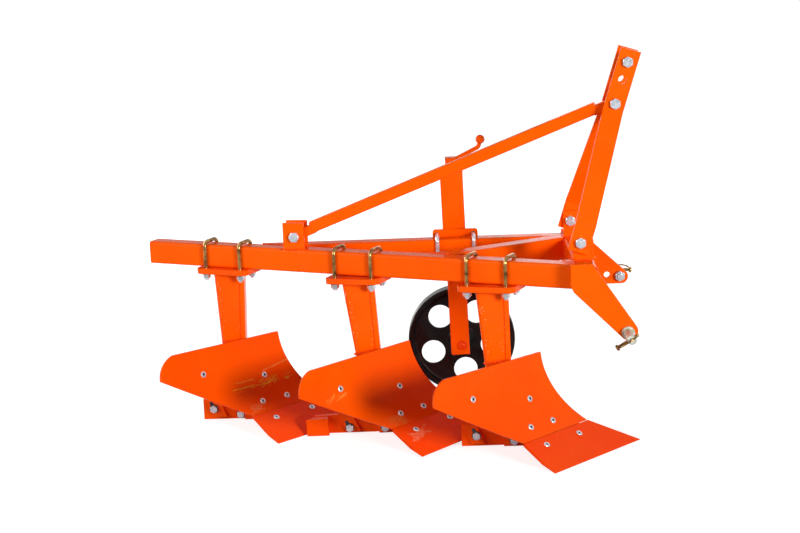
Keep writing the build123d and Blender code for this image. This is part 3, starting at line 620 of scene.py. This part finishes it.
def add_thread(mesh, start, way, radius, length, pitch=0.0015, sides=20):
    """The threaded end of a bolt, with a chamfered tip."""
    root = radius * 0.9
    outline = [(root, 0.0)]
    for i in range(max(2, int((length - 0.0012) / pitch))):
        outline += [(root, (i + 0.15) * pitch), (radius, (i + 0.5) * pitch), (root, (i + 0.85) * pitch)]
    outline += [(radius * 0.82, length), (0.0, length)]
    add_turned(mesh, start, way, outline, sides)


def add_wire(mesh, points, radius, sides=12):
    """A round wire through points in metres."""
    points = [Vector(p) for p in points]
    last = len(points) - 1
    first, _ = two_across(points[1] - points[0])
    rings = []
    for i, point in enumerate(points):
        way = (points[min(i + 1, last)] - points[max(i - 1, 0)]).normalized()
        first = (first - way * first.dot(way)).normalized()
        rings.append(ring_about(point, first, way.cross(first), radius, sides))
    add_rings(mesh, rings)


def add_bead(mesh, places, width, pitch=0.0042):
    """A weld bead with its ripples, along a line of places in the plough's layout."""
    places = [layout(p) for p in places]
    rings, walked = [], 0.0
    side = random.uniform(0, 6.3)
    for a, b in zip(places, places[1:]):
        way = (b - a).normalized()
        first, second = two_across(way)
        steps = max(2, int((b - a).length / (pitch / 4)))
        for i in range(steps + 1):
            share = i / steps
            run = walked + share * (b - a).length
            ripple = 0.78 + 0.22 * abs(math.sin(math.pi * run / pitch))
            swell = (1 + 0.10 * math.sin(run * 260 + side) + random.uniform(-0.05, 0.05)) * ripple * width / 2
            wander = first * math.sin(run * 190 + side) + second * math.sin(run * 230 + side)
            middle = a.lerp(b, share) + wander * width * 0.06
            rings.append(ring_about(middle, first, second, swell, 10))
        walked += (b - a).length
    add_rings(mesh, rings)


def add_drop(mesh, place, way, radius):
    """A drop of weld spatter: a small dome stuck on a face."""
    tall = radius * random.uniform(0.6, 0.9)
    dome = ((0.98, 0.0), (0.8, 0.6), (0.4, 0.92), (0.0, 1.0))
    outline = [(radius, -radius * 0.3)] + [(radius * reach, tall * up) for reach, up in dome]
    add_turned(mesh, place, way, outline, 10)


# ------------------------------------------------------------------ bolts of the plough bodies
BOARD_BOLTS = (
    # place on the front body, thickness clamped behind the face
    ((-423.0, -207.3, 177.2), 16.2),
    ((-280.8, -75.1, 136.9), 14.0),
    ((-224.4, -68.8, 77.9), 14.0),
    ((-282.2, -129.0, 80.1), 14.0),
)
SHARE_BOLTS = (
    ((-159.5, -65.6, 41.7), 17.0),
    ((-246.0, -156.0, 43.1), 17.0),
)
FROG_BOLTS = {
    # hexagon bolts through the frog and landside, on the furrow side
    "front": ((-414.0, -20.0, 30.0), (-320.0, -24.0, 15.5)),
    "middle": ((-421.0, -20.0, 21.0), (-329.0, -24.0, 15.5)),
    "rear": ((-428.0, -20.0, 32.0), (-357.0, -12.0, 13.2)),
}
LANDSIDE_FACE = -1.0  # just inside the face that the bolts' far ends come through
# outlines from here on: radius and distance along, in metres
SOCKET_HEAD = (
    (0.0082, -0.0008),
    (0.0082, 0.0006),
    (0.0077, 0.0014),
    (0.0062, 0.0020),
    (0.0046, 0.0021),
    (hexagonal(0.0034), 0.0018),
    (hexagonal(0.0034), -0.0040),
    (0.0006, -0.0046),
)
# a dark fill in the hexagon socket: painted shade in the recess
SOCKET_SHADE = ((hexagonal(0.0033), -0.002), (hexagonal(0.0033), 0.0006))
NUT_WASHER = ((0.0098, -0.0004), (0.0102, 0.0), (0.0102, 0.0018), (0.0055, 0.0018))
NUT_SEAT, NUT_END = 0.0018, 0.0094  # a nut's faces behind the seat of its washer
FLAT_END = ((0.0085, -0.002), (0.0085, 0.0002), (0.007, 0.0006), (0.0, 0.0007))


def add_plough_bolt(heads, nuts, sockets, place, way, behind):
    """A low domed head with a hexagon socket on the face, the socket filled dark as painted shade, and its
    washer and nut behind.
    """
    way = way.normalized()
    add_turned(heads, layout(place), way, SOCKET_HEAD)
    add_turned(sockets, layout(place), way, SOCKET_SHADE)
    seat = layout(place) - way * behind * MM
    add_turned(nuts, seat, -way, NUT_WASHER)
    add_hex(nuts, seat - way * NUT_SEAT, -way, 0.0165, 0.008)
    add_thread(nuts, seat - way * NUT_END, -way, 0.005, 0.005)


def add_bolt_head(mesh, washers, seat, way, flats, height):
    """A hexagon head on a round washer."""
    edge, thick = flats * 0.64, 0.0019
    washer = ((flats * 0.62, -0.0004), (edge, 0.0), (edge, thick), (0.004, thick))
    add_turned(washers, seat, way, washer, 28)
    add_hex(mesh, seat + way * thick, way, flats, height)


def add_slot_shade(mesh, seat, turn):
    """A dark sheet of painted shade where the inside of the adjusting slot shows beside the first frog bolt.
    """
    way, out = turn @ Vector((-0.42, 0.0, 0.91)), turn @ RIGHT
    across = way.cross(out)
    half_width, length = 0.0048, 0.016
    ring = []
    for i in range(24):
        angle = 2 * math.pi * i / 24
        reach = length if math.cos(angle) > 0 else 0.0
        ring.append(
            seat + way * (reach + half_width * math.cos(angle)) + across * half_width * math.sin(angle)
        )
    add_rings(mesh, [[p - out * 0.001 for p in ring], [p + out * 0.00025 for p in ring]])


def build_body_bolts(name):
    """The bolts of one plough body."""
    heads, nuts, sockets, hexes, washers, slot = (bmesh.new() for _ in range(6))
    turn = body_turn(name)
    for place, behind in BOARD_BOLTS:
        add_plough_bolt(heads, nuts, sockets, body_place(name, place), turn @ board_way(place), behind)
    for place, behind in SHARE_BOLTS:
        add_plough_bolt(heads, nuts, sockets, body_place(name, place), turn @ SHARE_WAY, behind)
    for place in FROG_BOLTS[name]:
        add_bolt_head(hexes, washers, layout(body_place(name, place)), turn @ RIGHT, 0.018, 0.008)
        far = layout(body_place(name, (place[0], LANDSIDE_FACE, place[2])))
        add_turned(hexes, far, turn @ LAND, FLAT_END)
    # the slot is a dark sheet of painted shade
    add_slot_shade(slot, layout(body_place(name, FROG_BOLTS[name][0])), turn)
    piece_from(f"plough_bolts_{name}", heads, bright_zinc)
    # the dark socket fills are painted shade
    piece_from(f"plough_socket_shade_{name}", sockets, black_enamel_and_socket_shade)
    piece_from(f"plough_nuts_{name}", nuts, bright_zinc)
    piece_from(f"frog_bolts_{name}", hexes, bright_zinc)
    # washers darkened as painted shade round the hexagon heads
    piece_from(f"frog_washers_{name}", washers, shade_dark_zinc)
    piece_from(f"frog_slot_shade_{name}", slot, shade_dark_zinc)


# ------------------------------------------------------------------ clamps under the beam
CLAMP_WASHER = ((0.0113, 0.0), (0.0119, 0.0010), (0.0119, 0.0031), (0.0113, 0.0036), (0.004, 0.0036))
LOCK_COLLAR = ((0.0084, 0.0), (0.0084, 0.0024), (0.0074, 0.0042), (0.0056, 0.0044))
COLLAR_DROP = 0.0116  # from the pad's underside to the collar under the nut
THREAD_DROP = 0.0155  # and to the thread that shows below the collar
U_BOLT_THREAD = 0.0053


def clamp_feet(name):
    """Where a body's U-bolts come through its pad, on the pad's underside, and the way down."""
    station, _, _, _, _, tilt = BODIES[name]
    slope = math.radians(tilt)
    for u in (-U_BOLT_STATION, U_BOLT_STATION):
        for v in (-U_BOLT_HALF, U_BOLT_HALF):
            place = BEAM_AT_LEG + BEAM_DIR * u + BEAM_ACROSS * v
            place.z = FRAME_LOW - PAD_THICK / math.cos(slope) - (PAD_EDGE - place.x) * math.tan(slope)
            yield place + BODY_STEP * station, Vector((math.sin(slope), 0.0, -math.cos(slope)))


def build_clamp_ends(name):
    """Washers on a pad's underside, darkened as painted shade, and the collars and threads under the nuts."""
    washers, threads = bmesh.new(), bmesh.new()
    for place, down in clamp_feet(name):
        add_turned(washers, layout(place) - down * 0.001, down, CLAMP_WASHER, 28)
        add_turned(threads, layout(place) - UP * COLLAR_DROP, -UP, LOCK_COLLAR, 28)
        add_thread(threads, layout(place) - UP * THREAD_DROP, -UP, U_BOLT_THREAD, 0.0045)
    # the washers are darkened as painted shade under the pads
    piece_from(f"clamp_washers_{name}", washers, shade_dark_zinc)
    piece_from(f"clamp_threads_{name}", threads, bright_zinc)


# ------------------------------------------------------------------ lynch pins in the lower-link pins
LYNCH_PINS = {
    # middle of the cross hole, way outwards, slope, way to the head, tilt of the bow, reach of the head
    "right": ((-46.0, -238.0, 320.0), RIGHT, 31.0, -1, 6.0, 39.0),
    "left": ((-14.0, 398.0, 357.0), LAND, -4.0, 1, 22.0, 37.0),
}
LYNCH_TIP = 20.0  # from the cross hole to the pin's tip, in millimetres
LYNCH_CATCH = 15.5  # from the cross hole to the place where the bow closes on the tip
LYNCH_BOW = 23.0  # how far the bow stands out
LYNCH_SHAFT = (
    # from the tip, with the groove that the bow snaps into
    (0.0, 0.0),
    (0.0022, 0.0),
    (0.0042, 0.003),
    (0.0042, 0.005),
    (0.0034, 0.0055),
    (0.0034, 0.008),
    (0.0042, 0.0085),
)
LYNCH_HEAD = (
    # from the middle of the head
    (0.0042, -0.0040),
    (0.0066, -0.0036),
    (0.0074, -0.0024),
    (0.0076, 0.0),
    (0.0070, 0.0022),
    (0.0044, 0.0034),
    (0.0, 0.0036),
)


def build_lynch_pin(name):
    """A lynch pin through the end of a lower-link pin, and its sprung bow."""
    middle, out, slope, side, tilt, reach = LYNCH_PINS[name]
    middle = Vector(middle)
    shaft, bow = bmesh.new(), bmesh.new()
    lie = Vector((math.cos(math.radians(slope)), 0.0, math.sin(math.radians(slope)))) * side
    rise = Vector((-lie.z, 0.0, lie.x)) * side
    over = (out * math.cos(math.radians(tilt)) + rise * math.sin(math.radians(tilt))).normalized()
    head = [(radius, (LYNCH_TIP + reach) * MM + up) for radius, up in LYNCH_HEAD]
    add_turned(shaft, layout(middle - lie * LYNCH_TIP), lie, [*LYNCH_SHAFT, *head])
    centre, half = (reach - LYNCH_CATCH) / 2, (reach + LYNCH_CATCH) / 2
    places = []
    for i in range(29):
        turn = math.pi * i / 28
        place = middle + lie * (centre + half * math.cos(turn)) + over * LYNCH_BOW * math.sin(turn) ** 0.8
        places.append(layout(place))
    add_wire(bow, places, 0.0019)
    piece_from(f"lynch_pin_{name}", shaft, gold_zinc)
    piece_from(f"lynch_bow_{name}", bow, gold_zinc)


# ------------------------------------------------------------------ welds
FRAME_WELDS = {
    # joint: bead width in millimetres and the lines it follows
    "cross_to_right_arm": (6.5, [
        [(-160, -155, 483), (-123, -155, 483)],
        [(-118, -155, 478), (-118, -155, 426)],
        [(-167, -155, 478), (-167, -155, 426)],
        [(-160, -155, 421), (-124, -155, 421)],
    ]),
    "cross_to_left_arm": (6.5, [
        [(-160, 315, 483), (-123, 315, 483)],
        [(-118, 315, 478), (-118, 315, 426)],
        [(-160, 315, 421), (-124, 315, 421)],
    ]),
    "main_beam_to_cross": (5.5, [
        [(-168, -136, 482), (-168, -87, 482)],
        [(-168, -139, 476), (-168, -139, 428)],
        [(-168, -84, 476), (-168, -84, 428)],
        [(-168, -136, 422), (-168, -87, 422)],
    ]),
    "land_beam_to_cross": (5.5, [
        [(-168, 255, 482), (-168, 299, 482)],
        [(-168, 302, 476), (-168, 302, 428)],
        [(-168, 255, 422), (-168, 299, 422)],
    ]),
    "brace_to_cross": (5.0, [
        [(-168, 222, 478), (-168, 222, 426)],
        [(-168, 226, 482), (-168, 250, 482)],
    ]),
    "brace_to_beam": (5.0, [
        [(-513, 78.5, 482), (-463, 55, 482)],
        [(-517, 80.5, 476), (-517, 80.5, 428)],
        [(-459, 53.5, 476), (-459, 53.5, 428)],
    ]),
    "land_beam_to_main": (5.5, [
        [(-886, 253, 482), (-953, 284.5, 482)],
        [(-882, 251, 476), (-882, 251, 428)],
    ]),
    "mast_lugs": (5.0, [
        [(-164, -64.5, 483), (-120, -64.5, 483)],
        [(-164, -75.5, 483), (-120, -75.5, 483)],
        [(-164, 224.5, 483), (-120, 224.5, 483)],
        [(-164, 235.5, 483), (-120, 235.5, 483)],
    ]),
}


def weld(name, width, lines, body="plough"):
    """One piece with the beads of a joint; width in millimetres."""
    beads = bmesh.new()
    for line in lines:
        add_bead(beads, line, width * MM)
    piece_from(f"weld_{name}", beads, weld_enamel, body)


BRACKET_HALF = 24.5  # from the stay's middle line to the bracket's sides
BRACKET_BEHIND, BRACKET_AHEAD = 28, 23  # the bracket's ends from the stay's rear bolt
SLEEVE_SEAMS = (-477.0, -417.0)
CLAMP_PLATE_FACE = 313.0
SEAM_LOW, SEAM_HIGH = 402.0, 496.0
LID_CORNERS = ((-29, -29), (29, -29), (29, 29), (-29, 29))
LID_HEIGHT = 650.0


def build_stay_weld():
    """Beads along both sides of the bracket that holds the stay's rear end."""
    feet = [STAY_REAR + STAY_SIDE * offset for offset in (-BRACKET_HALF, BRACKET_HALF)]
    lines = [[foot - STAY_WAY * BRACKET_BEHIND, foot + STAY_WAY * BRACKET_AHEAD] for foot in feet]
    weld("stay_bracket", 5.0, lines)


def build_sleeve_weld():
    """Beads between the depth wheel's sleeve and its clamp plate, and round the sleeve's lid."""
    beads = bmesh.new()
    for x in SLEEVE_SEAMS:
        add_bead(beads, [(x, CLAMP_PLATE_FACE, SEAM_LOW), (x, CLAMP_PLATE_FACE, SEAM_HIGH)], 5.0 * MM)
    corners = [POST_MIDDLE + Vector((x, y, LID_HEIGHT)) for x, y in LID_CORNERS]
    add_bead(beads, [post_place(corner) for corner in corners + corners[:1]], 3.4 * MM)
    piece_from("weld_depth_sleeve", beads, weld_enamel)


LEG_TOP = ((-405, -41), (-327, -41), (-327, -3), (-405, -3))  # corners under the pad
LEG_TOP_HEIGHT = 400.0
LEG_FOOT = ((-391.0, 222.5), (-366.0, 221.5), (-342.0, 226.0))  # where the frog's plate laps the leg


def build_leg_weld(name):
    """Beads round the top of a leg, under its pad, and across its foot."""
    beads = bmesh.new()
    station, _, _, _, _, tilt = BODIES[name]
    corners = []
    for x, y in LEG_TOP + LEG_TOP[:1]:
        place = leg_place(name, x, y, LEG_TOP_HEIGHT)
        drop = (PAD_EDGE - (place.x - BODY_STEP.x * station)) * math.tan(math.radians(tilt))
        place.z = FRAME_LOW - PAD_THICK - drop - 1.0
        corners.append(place)
    for a, b in zip(corners, corners[1:]):
        add_bead(beads, [a.lerp(b, 0.1), a.lerp(b, 0.9)], 5.5 * MM)
    add_bead(beads, [body_place(name, (x, LEG_NEAR - 1.0, z)) for x, z in LEG_FOOT], 6.5 * MM)
    piece_from(f"weld_leg_{name}", beads, weld_enamel)


# ------------------------------------------------------------------ spatter
def spatter(mesh, count, way, smallest, largest, draw_place):
    """Drops of spatter at places that draw_place makes up; radii in millimetres."""
    for _ in range(count):
        place = draw_place()
        add_drop(mesh, layout(place), way, random.uniform(smallest, largest) * MM)


def by_the_frog(name):
    """A place low on a leg, near the weld of its frog."""
    high = random.uniform(0.0, 1.0) ** 0.7
    x = -398.0 + random.gauss(0.0, 5.0) + 24.0 * (1.0 - high)
    return leg_place(name, x, LEG_NEAR, 232.0 + 150.0 * high)


def by_the_stay():
    """A place on the main beam's side, below the stay's bracket."""
    x = random.uniform(-900.0, -830.0)
    y = BEAM_AT_LEG.y + (x - BEAM_AT_LEG.x) * BEAM_DIR.y / BEAM_DIR.x - 27.0
    return Vector((x, y, FRAME_TOP - 6.0))


def up_the_leg(name):
    """A place higher up on a leg."""
    return leg_place(name, random.uniform(-348.0, -330.0), LEG_NEAR, random.uniform(240.0, 330.0))


def on_left_arm():
    """A place on the left arm's face."""
    return (random.uniform(-99.0, -76.0), 316.0, random.uniform(396.0, 418.0))


def on_tube_top():
    """A place on top of the cross tube, by the right arm."""
    return (random.uniform(-165.0, -119.0), random.gauss(-140.0, 8.0), FRAME_TOP)


def on_tube_front():
    """A place on the front of the cross tube, by the right arm."""
    return (-117.0, random.gauss(-142.0, 9.0), random.uniform(440.0, FRAME_TOP - 2.0))


def build_spatter():
    """All the weld spatter, as one piece, coloured pale as a painted highlight."""
    drops = bmesh.new()
    for name in BODIES:
        spatter(drops, 16, RIGHT, 0.9, 1.7, lambda: by_the_frog(name))
        spatter(drops, 5, RIGHT, 0.8, 1.3, lambda: up_the_leg(name))
    spatter(drops, 9, RIGHT, 1.0, 1.9, on_left_arm)
    spatter(drops, 10, -BEAM_ACROSS, 0.7, 1.3, by_the_stay)
    spatter(drops, 14, UP, 0.9, 1.8, on_tube_top)
    spatter(drops, 10, FRONT, 0.9, 1.6, on_tube_front)
    piece_from("weld_spatter", drops, spatter_glint_enamel)


PLUG_RADIUS = 11.0
PLUG_FACE = 4.5  # the post's far face, from the axle's own place
PLUG_CAP_FACE = 5.6
PLUG_CAP = ((0.0075, 0.0), (0.0070, 0.0022), (0.0040, 0.0040), (0.0, 0.0036))


def build_axle_plug():
    """The plug weld that holds the axle in the post."""
    plug = bmesh.new()
    steps = 20
    ring = []
    for i in range(steps + 1):
        turn = 2 * math.pi * i / steps
        place = Vector((PLUG_RADIUS * math.cos(turn), PLUG_FACE, PLUG_RADIUS * math.sin(turn)))
        ring.append(post_place(WHEEL_AXLE + place))
    add_bead(plug, ring, 6.0 * MM, 0.006)
    add_turned(plug, layout(post_place(WHEEL_AXLE + LAND * PLUG_CAP_FACE)), RIGHT, PLUG_CAP, 18)
    piece_from("weld_axle_plug", plug, weld_enamel, "wheel_post")


# ------------------------------------------------------------------ threads and washers of the other bolts
POST_WASHER = ((0.0100, 0.0), (0.0105, 0.0004), (0.0105, 0.0022), (0.0100, 0.0026), (0.004, 0.0026))
DEPTH_CLAMP_BOLTS = ((-494.5, 416.0), (-494.5, 488.0), (-399.5, 416.0), (-399.5, 488.0))
DEPTH_WASHER_FACE, DEPTH_NUT_FACE = 311.8, 323.8
BOLT_THREAD = 0.0083  # thread radius of the 16 mm bolts, in metres
BOLT_ENDS = (
    # place where the nut ends, way out, length of thread that shows
    (mast_place(0.0, -55.0), LAND, 0.006),
    (mast_place(0.0, 255.0), LAND, 0.006),
    (mast_place(TOP_LINK_UP, 126.0), LAND, 0.007),
    (mast_place(STAY_BOLT_UP, 126.0), LAND, 0.007),
    (Vector((STAY_REAR.x, STAY_REAR.y, 514.5)) + STAY_SIDE * 34.0, STAY_SIDE, 0.005),
    (Vector((-46.0, -143.0, 320.0)), LAND, 0.0045),
    (Vector((-14.0, 303.0, 357.0)), RIGHT, 0.0045),
)


def build_bolt_threads():
    """Thread ends of the mast's bolts, the stay's bolts and the lower-link pins."""
    ends = bmesh.new()
    for place, out, length in BOLT_ENDS:
        add_thread(ends, layout(place), out, BOLT_THREAD, length, 0.002, 28)
    piece_from("bolt_threads", ends, bright_zinc)


def build_depth_clamp_washers():
    """Washers and thread ends of the U-bolts that clamp the depth wheel's sleeve."""
    clamp = bmesh.new()
    for x, z in DEPTH_CLAMP_BOLTS:
        add_turned(clamp, layout((x, DEPTH_WASHER_FACE, z)), LAND, POST_WASHER, 28)
        add_thread(clamp, layout((x, DEPTH_NUT_FACE, z)), LAND, U_BOLT_THREAD, 0.0056)
    piece_from("depth_clamp_washers", clamp, bright_zinc)


# ------------------------------------------------------------------ floor, lights and camera
WHITE = (1.0, 1.0, 1.0, 1.0)
FLOOR_GREY = (0.5, 0.5, 0.5, 1.0)
FLOOR_GLOW = 0.78  # under the plough; the floor is plain white from FLOOR_FAR metres on
FLOOR_NEAR, FLOOR_FAR = 0.9, 4.0


def pale_floor():
    """A white floor that still shows the plough's soft shadow."""
    material, tree, shader = start_material("pale_floor")
    seen = node(tree, "LightPath").outputs
    behind = ramp(tree, node(tree, "SeparateXYZ", {0: here(tree)}).outputs["Y"], -1.0, 1.5)
    away = node(tree, "VectorMath", {0: here(tree)}, operation="LENGTH").outputs["Value"]
    glow = larger(tree, seen["Is Camera Ray"], product(tree, seen["Is Glossy Ray"], behind))
    strength = product(tree, glow, ramp(tree, away, FLOOR_NEAR, FLOOR_FAR, FLOOR_GLOW, 1.0))
    white = node(tree, "Emission", {"Color": WHITE, "Strength": strength}).outputs[0]
    fix(shader, Base_Color=FLOOR_GREY, Roughness=1.0, Specular_IOR_Level=0.0)
    both = node(tree, "AddShader", {0: shader.outputs[0], 1: white}).outputs[0]
    tree.links.new(both, tree.nodes["Material Output"].inputs["Surface"])
    return material


def build_floor():
    """A wide flat floor under the plough."""
    mesh = bmesh.new()
    bmesh.ops.create_grid(mesh, x_segments=8, y_segments=8, size=30.0)
    data = bpy.data.meshes.new("floor")
    mesh.to_mesh(data)
    mesh.free()
    floor = bpy.data.objects.new("floor", data)
    bpy.context.scene.collection.objects.link(floor)
    data.materials.append(pale_floor())


def build_world():
    """White backdrop, which reflections see dimmer on the side of the studio where the camera stands."""
    world = bpy.data.worlds.new("studio")
    bpy.context.scene.world = world
    world.use_nodes = True
    tree = world.node_tree
    way = node(tree, "SeparateXYZ", {0: node(tree, "TexCoord").outputs["Generated"]}).outputs
    open_side = larger(tree, ramp(tree, way["Y"], -0.3, 0.5), ramp(tree, way["Z"], 0.3, 0.85))
    seen = node(tree, "LightPath").outputs
    mirrored = larger(tree, seen["Is Glossy Ray"], seen["Is Transmission Ray"])
    in_gloss = product(tree, mirrored, ramp(tree, open_side, 0.0, 1.0, 0.42, 0.75))
    matt = calc(tree, "SUBTRACT", 1.0, mirrored)
    on_matt = product(tree, matt, ramp(tree, open_side, 0.0, 1.0, 0.02, 0.09))
    strength = larger(tree, seen["Is Camera Ray"], calc(tree, "ADD", in_gloss, on_matt))
    backdrop = tree.nodes["Background"]
    fix(backdrop, Color=WHITE)
    feed(tree, backdrop, Strength=strength)


PLOUGH_MIDDLE = Vector((0.0, 0.0, 0.42))
LAMPS = (
    # name, place, size, watts: each points at the plough's middle
    ("key", (3.94, -5.63, 1.78), 1.9, 430.0),
    ("front_fill", (-3.55, -2.45, 1.8), 3.2, 104.0),
    ("top", (0.3, 0.9, 3.2), 2.4, 4.0),
    ("land_side", (-3.0, 2.9, 1.2), 1.8, 90.0),
    ("land_front", (1.4, 3.8, 1.5), 2.4, 22.0),
    ("rear", (-3.9, 0.3, 1.2), 1.4, 20.0),
)


def build_lamps():
    """Round area lamps."""
    for name, place, size, watts in LAMPS:
        data = bpy.data.lights.new(name, "AREA")
        data.shape = "DISK"
        data.size = size
        data.energy = watts
        lamp = bpy.data.objects.new(name, data)
        lamp.location = place
        lamp.rotation_euler = (PLOUGH_MIDDLE - Vector(place)).to_track_quat("-Z", "Y").to_euler()
        bpy.context.scene.collection.objects.link(lamp)


CAMERA_PLACE = (-503.4, -4368.6, 1352.3)
CAMERA_YAW, CAMERA_PITCH, CAMERA_ROLL = (math.radians(turn) for turn in (-1.132, 11.468, 2.227))


def build_camera():
    """Camera at the right of the plough, a little above its beam and a long way off."""
    level = Vector((math.cos(CAMERA_YAW), -math.sin(CAMERA_YAW), 0.0))
    ahead = Vector((
        math.sin(CAMERA_YAW) * math.cos(CAMERA_PITCH),
        math.cos(CAMERA_YAW) * math.cos(CAMERA_PITCH),
        -math.sin(CAMERA_PITCH),
    ))
    below = ahead.cross(level)
    across = level * math.cos(CAMERA_ROLL) + below * math.sin(CAMERA_ROLL)
    down = below * math.cos(CAMERA_ROLL) - level * math.sin(CAMERA_ROLL)
    turned = Matrix((across, -down, -ahead)).transposed().to_4x4()
    camera = bpy.data.objects.new("camera", bpy.data.cameras.new("camera"))
    camera.matrix_world = Matrix.Translation(layout(CAMERA_PLACE)) @ turned
    camera.data.sensor_width = 36.0
    camera.data.lens = 81.007
    camera.data.clip_end = 100.0
    bpy.context.scene.collection.objects.link(camera)
    bpy.context.scene.camera = camera


# ------------------------------------------------------------------ making it all
finish_cad_nodes()
for body_name in BODIES:
    build_body_bolts(body_name)
for body_name in BODIES:
    build_clamp_ends(body_name)
for pin_name in LYNCH_PINS:
    build_lynch_pin(pin_name)
for joint_name, (bead_width, bead_lines) in FRAME_WELDS.items():
    weld(joint_name, bead_width, bead_lines)
build_stay_weld()
build_sleeve_weld()
for body_name in BODIES:
    build_leg_weld(body_name)
build_spatter()
build_axle_plug()
build_bolt_threads()
build_depth_clamp_washers()
build_floor()
build_world()
build_lamps()
build_camera()
bpy.context.scene.view_settings.view_transform = "Standard"
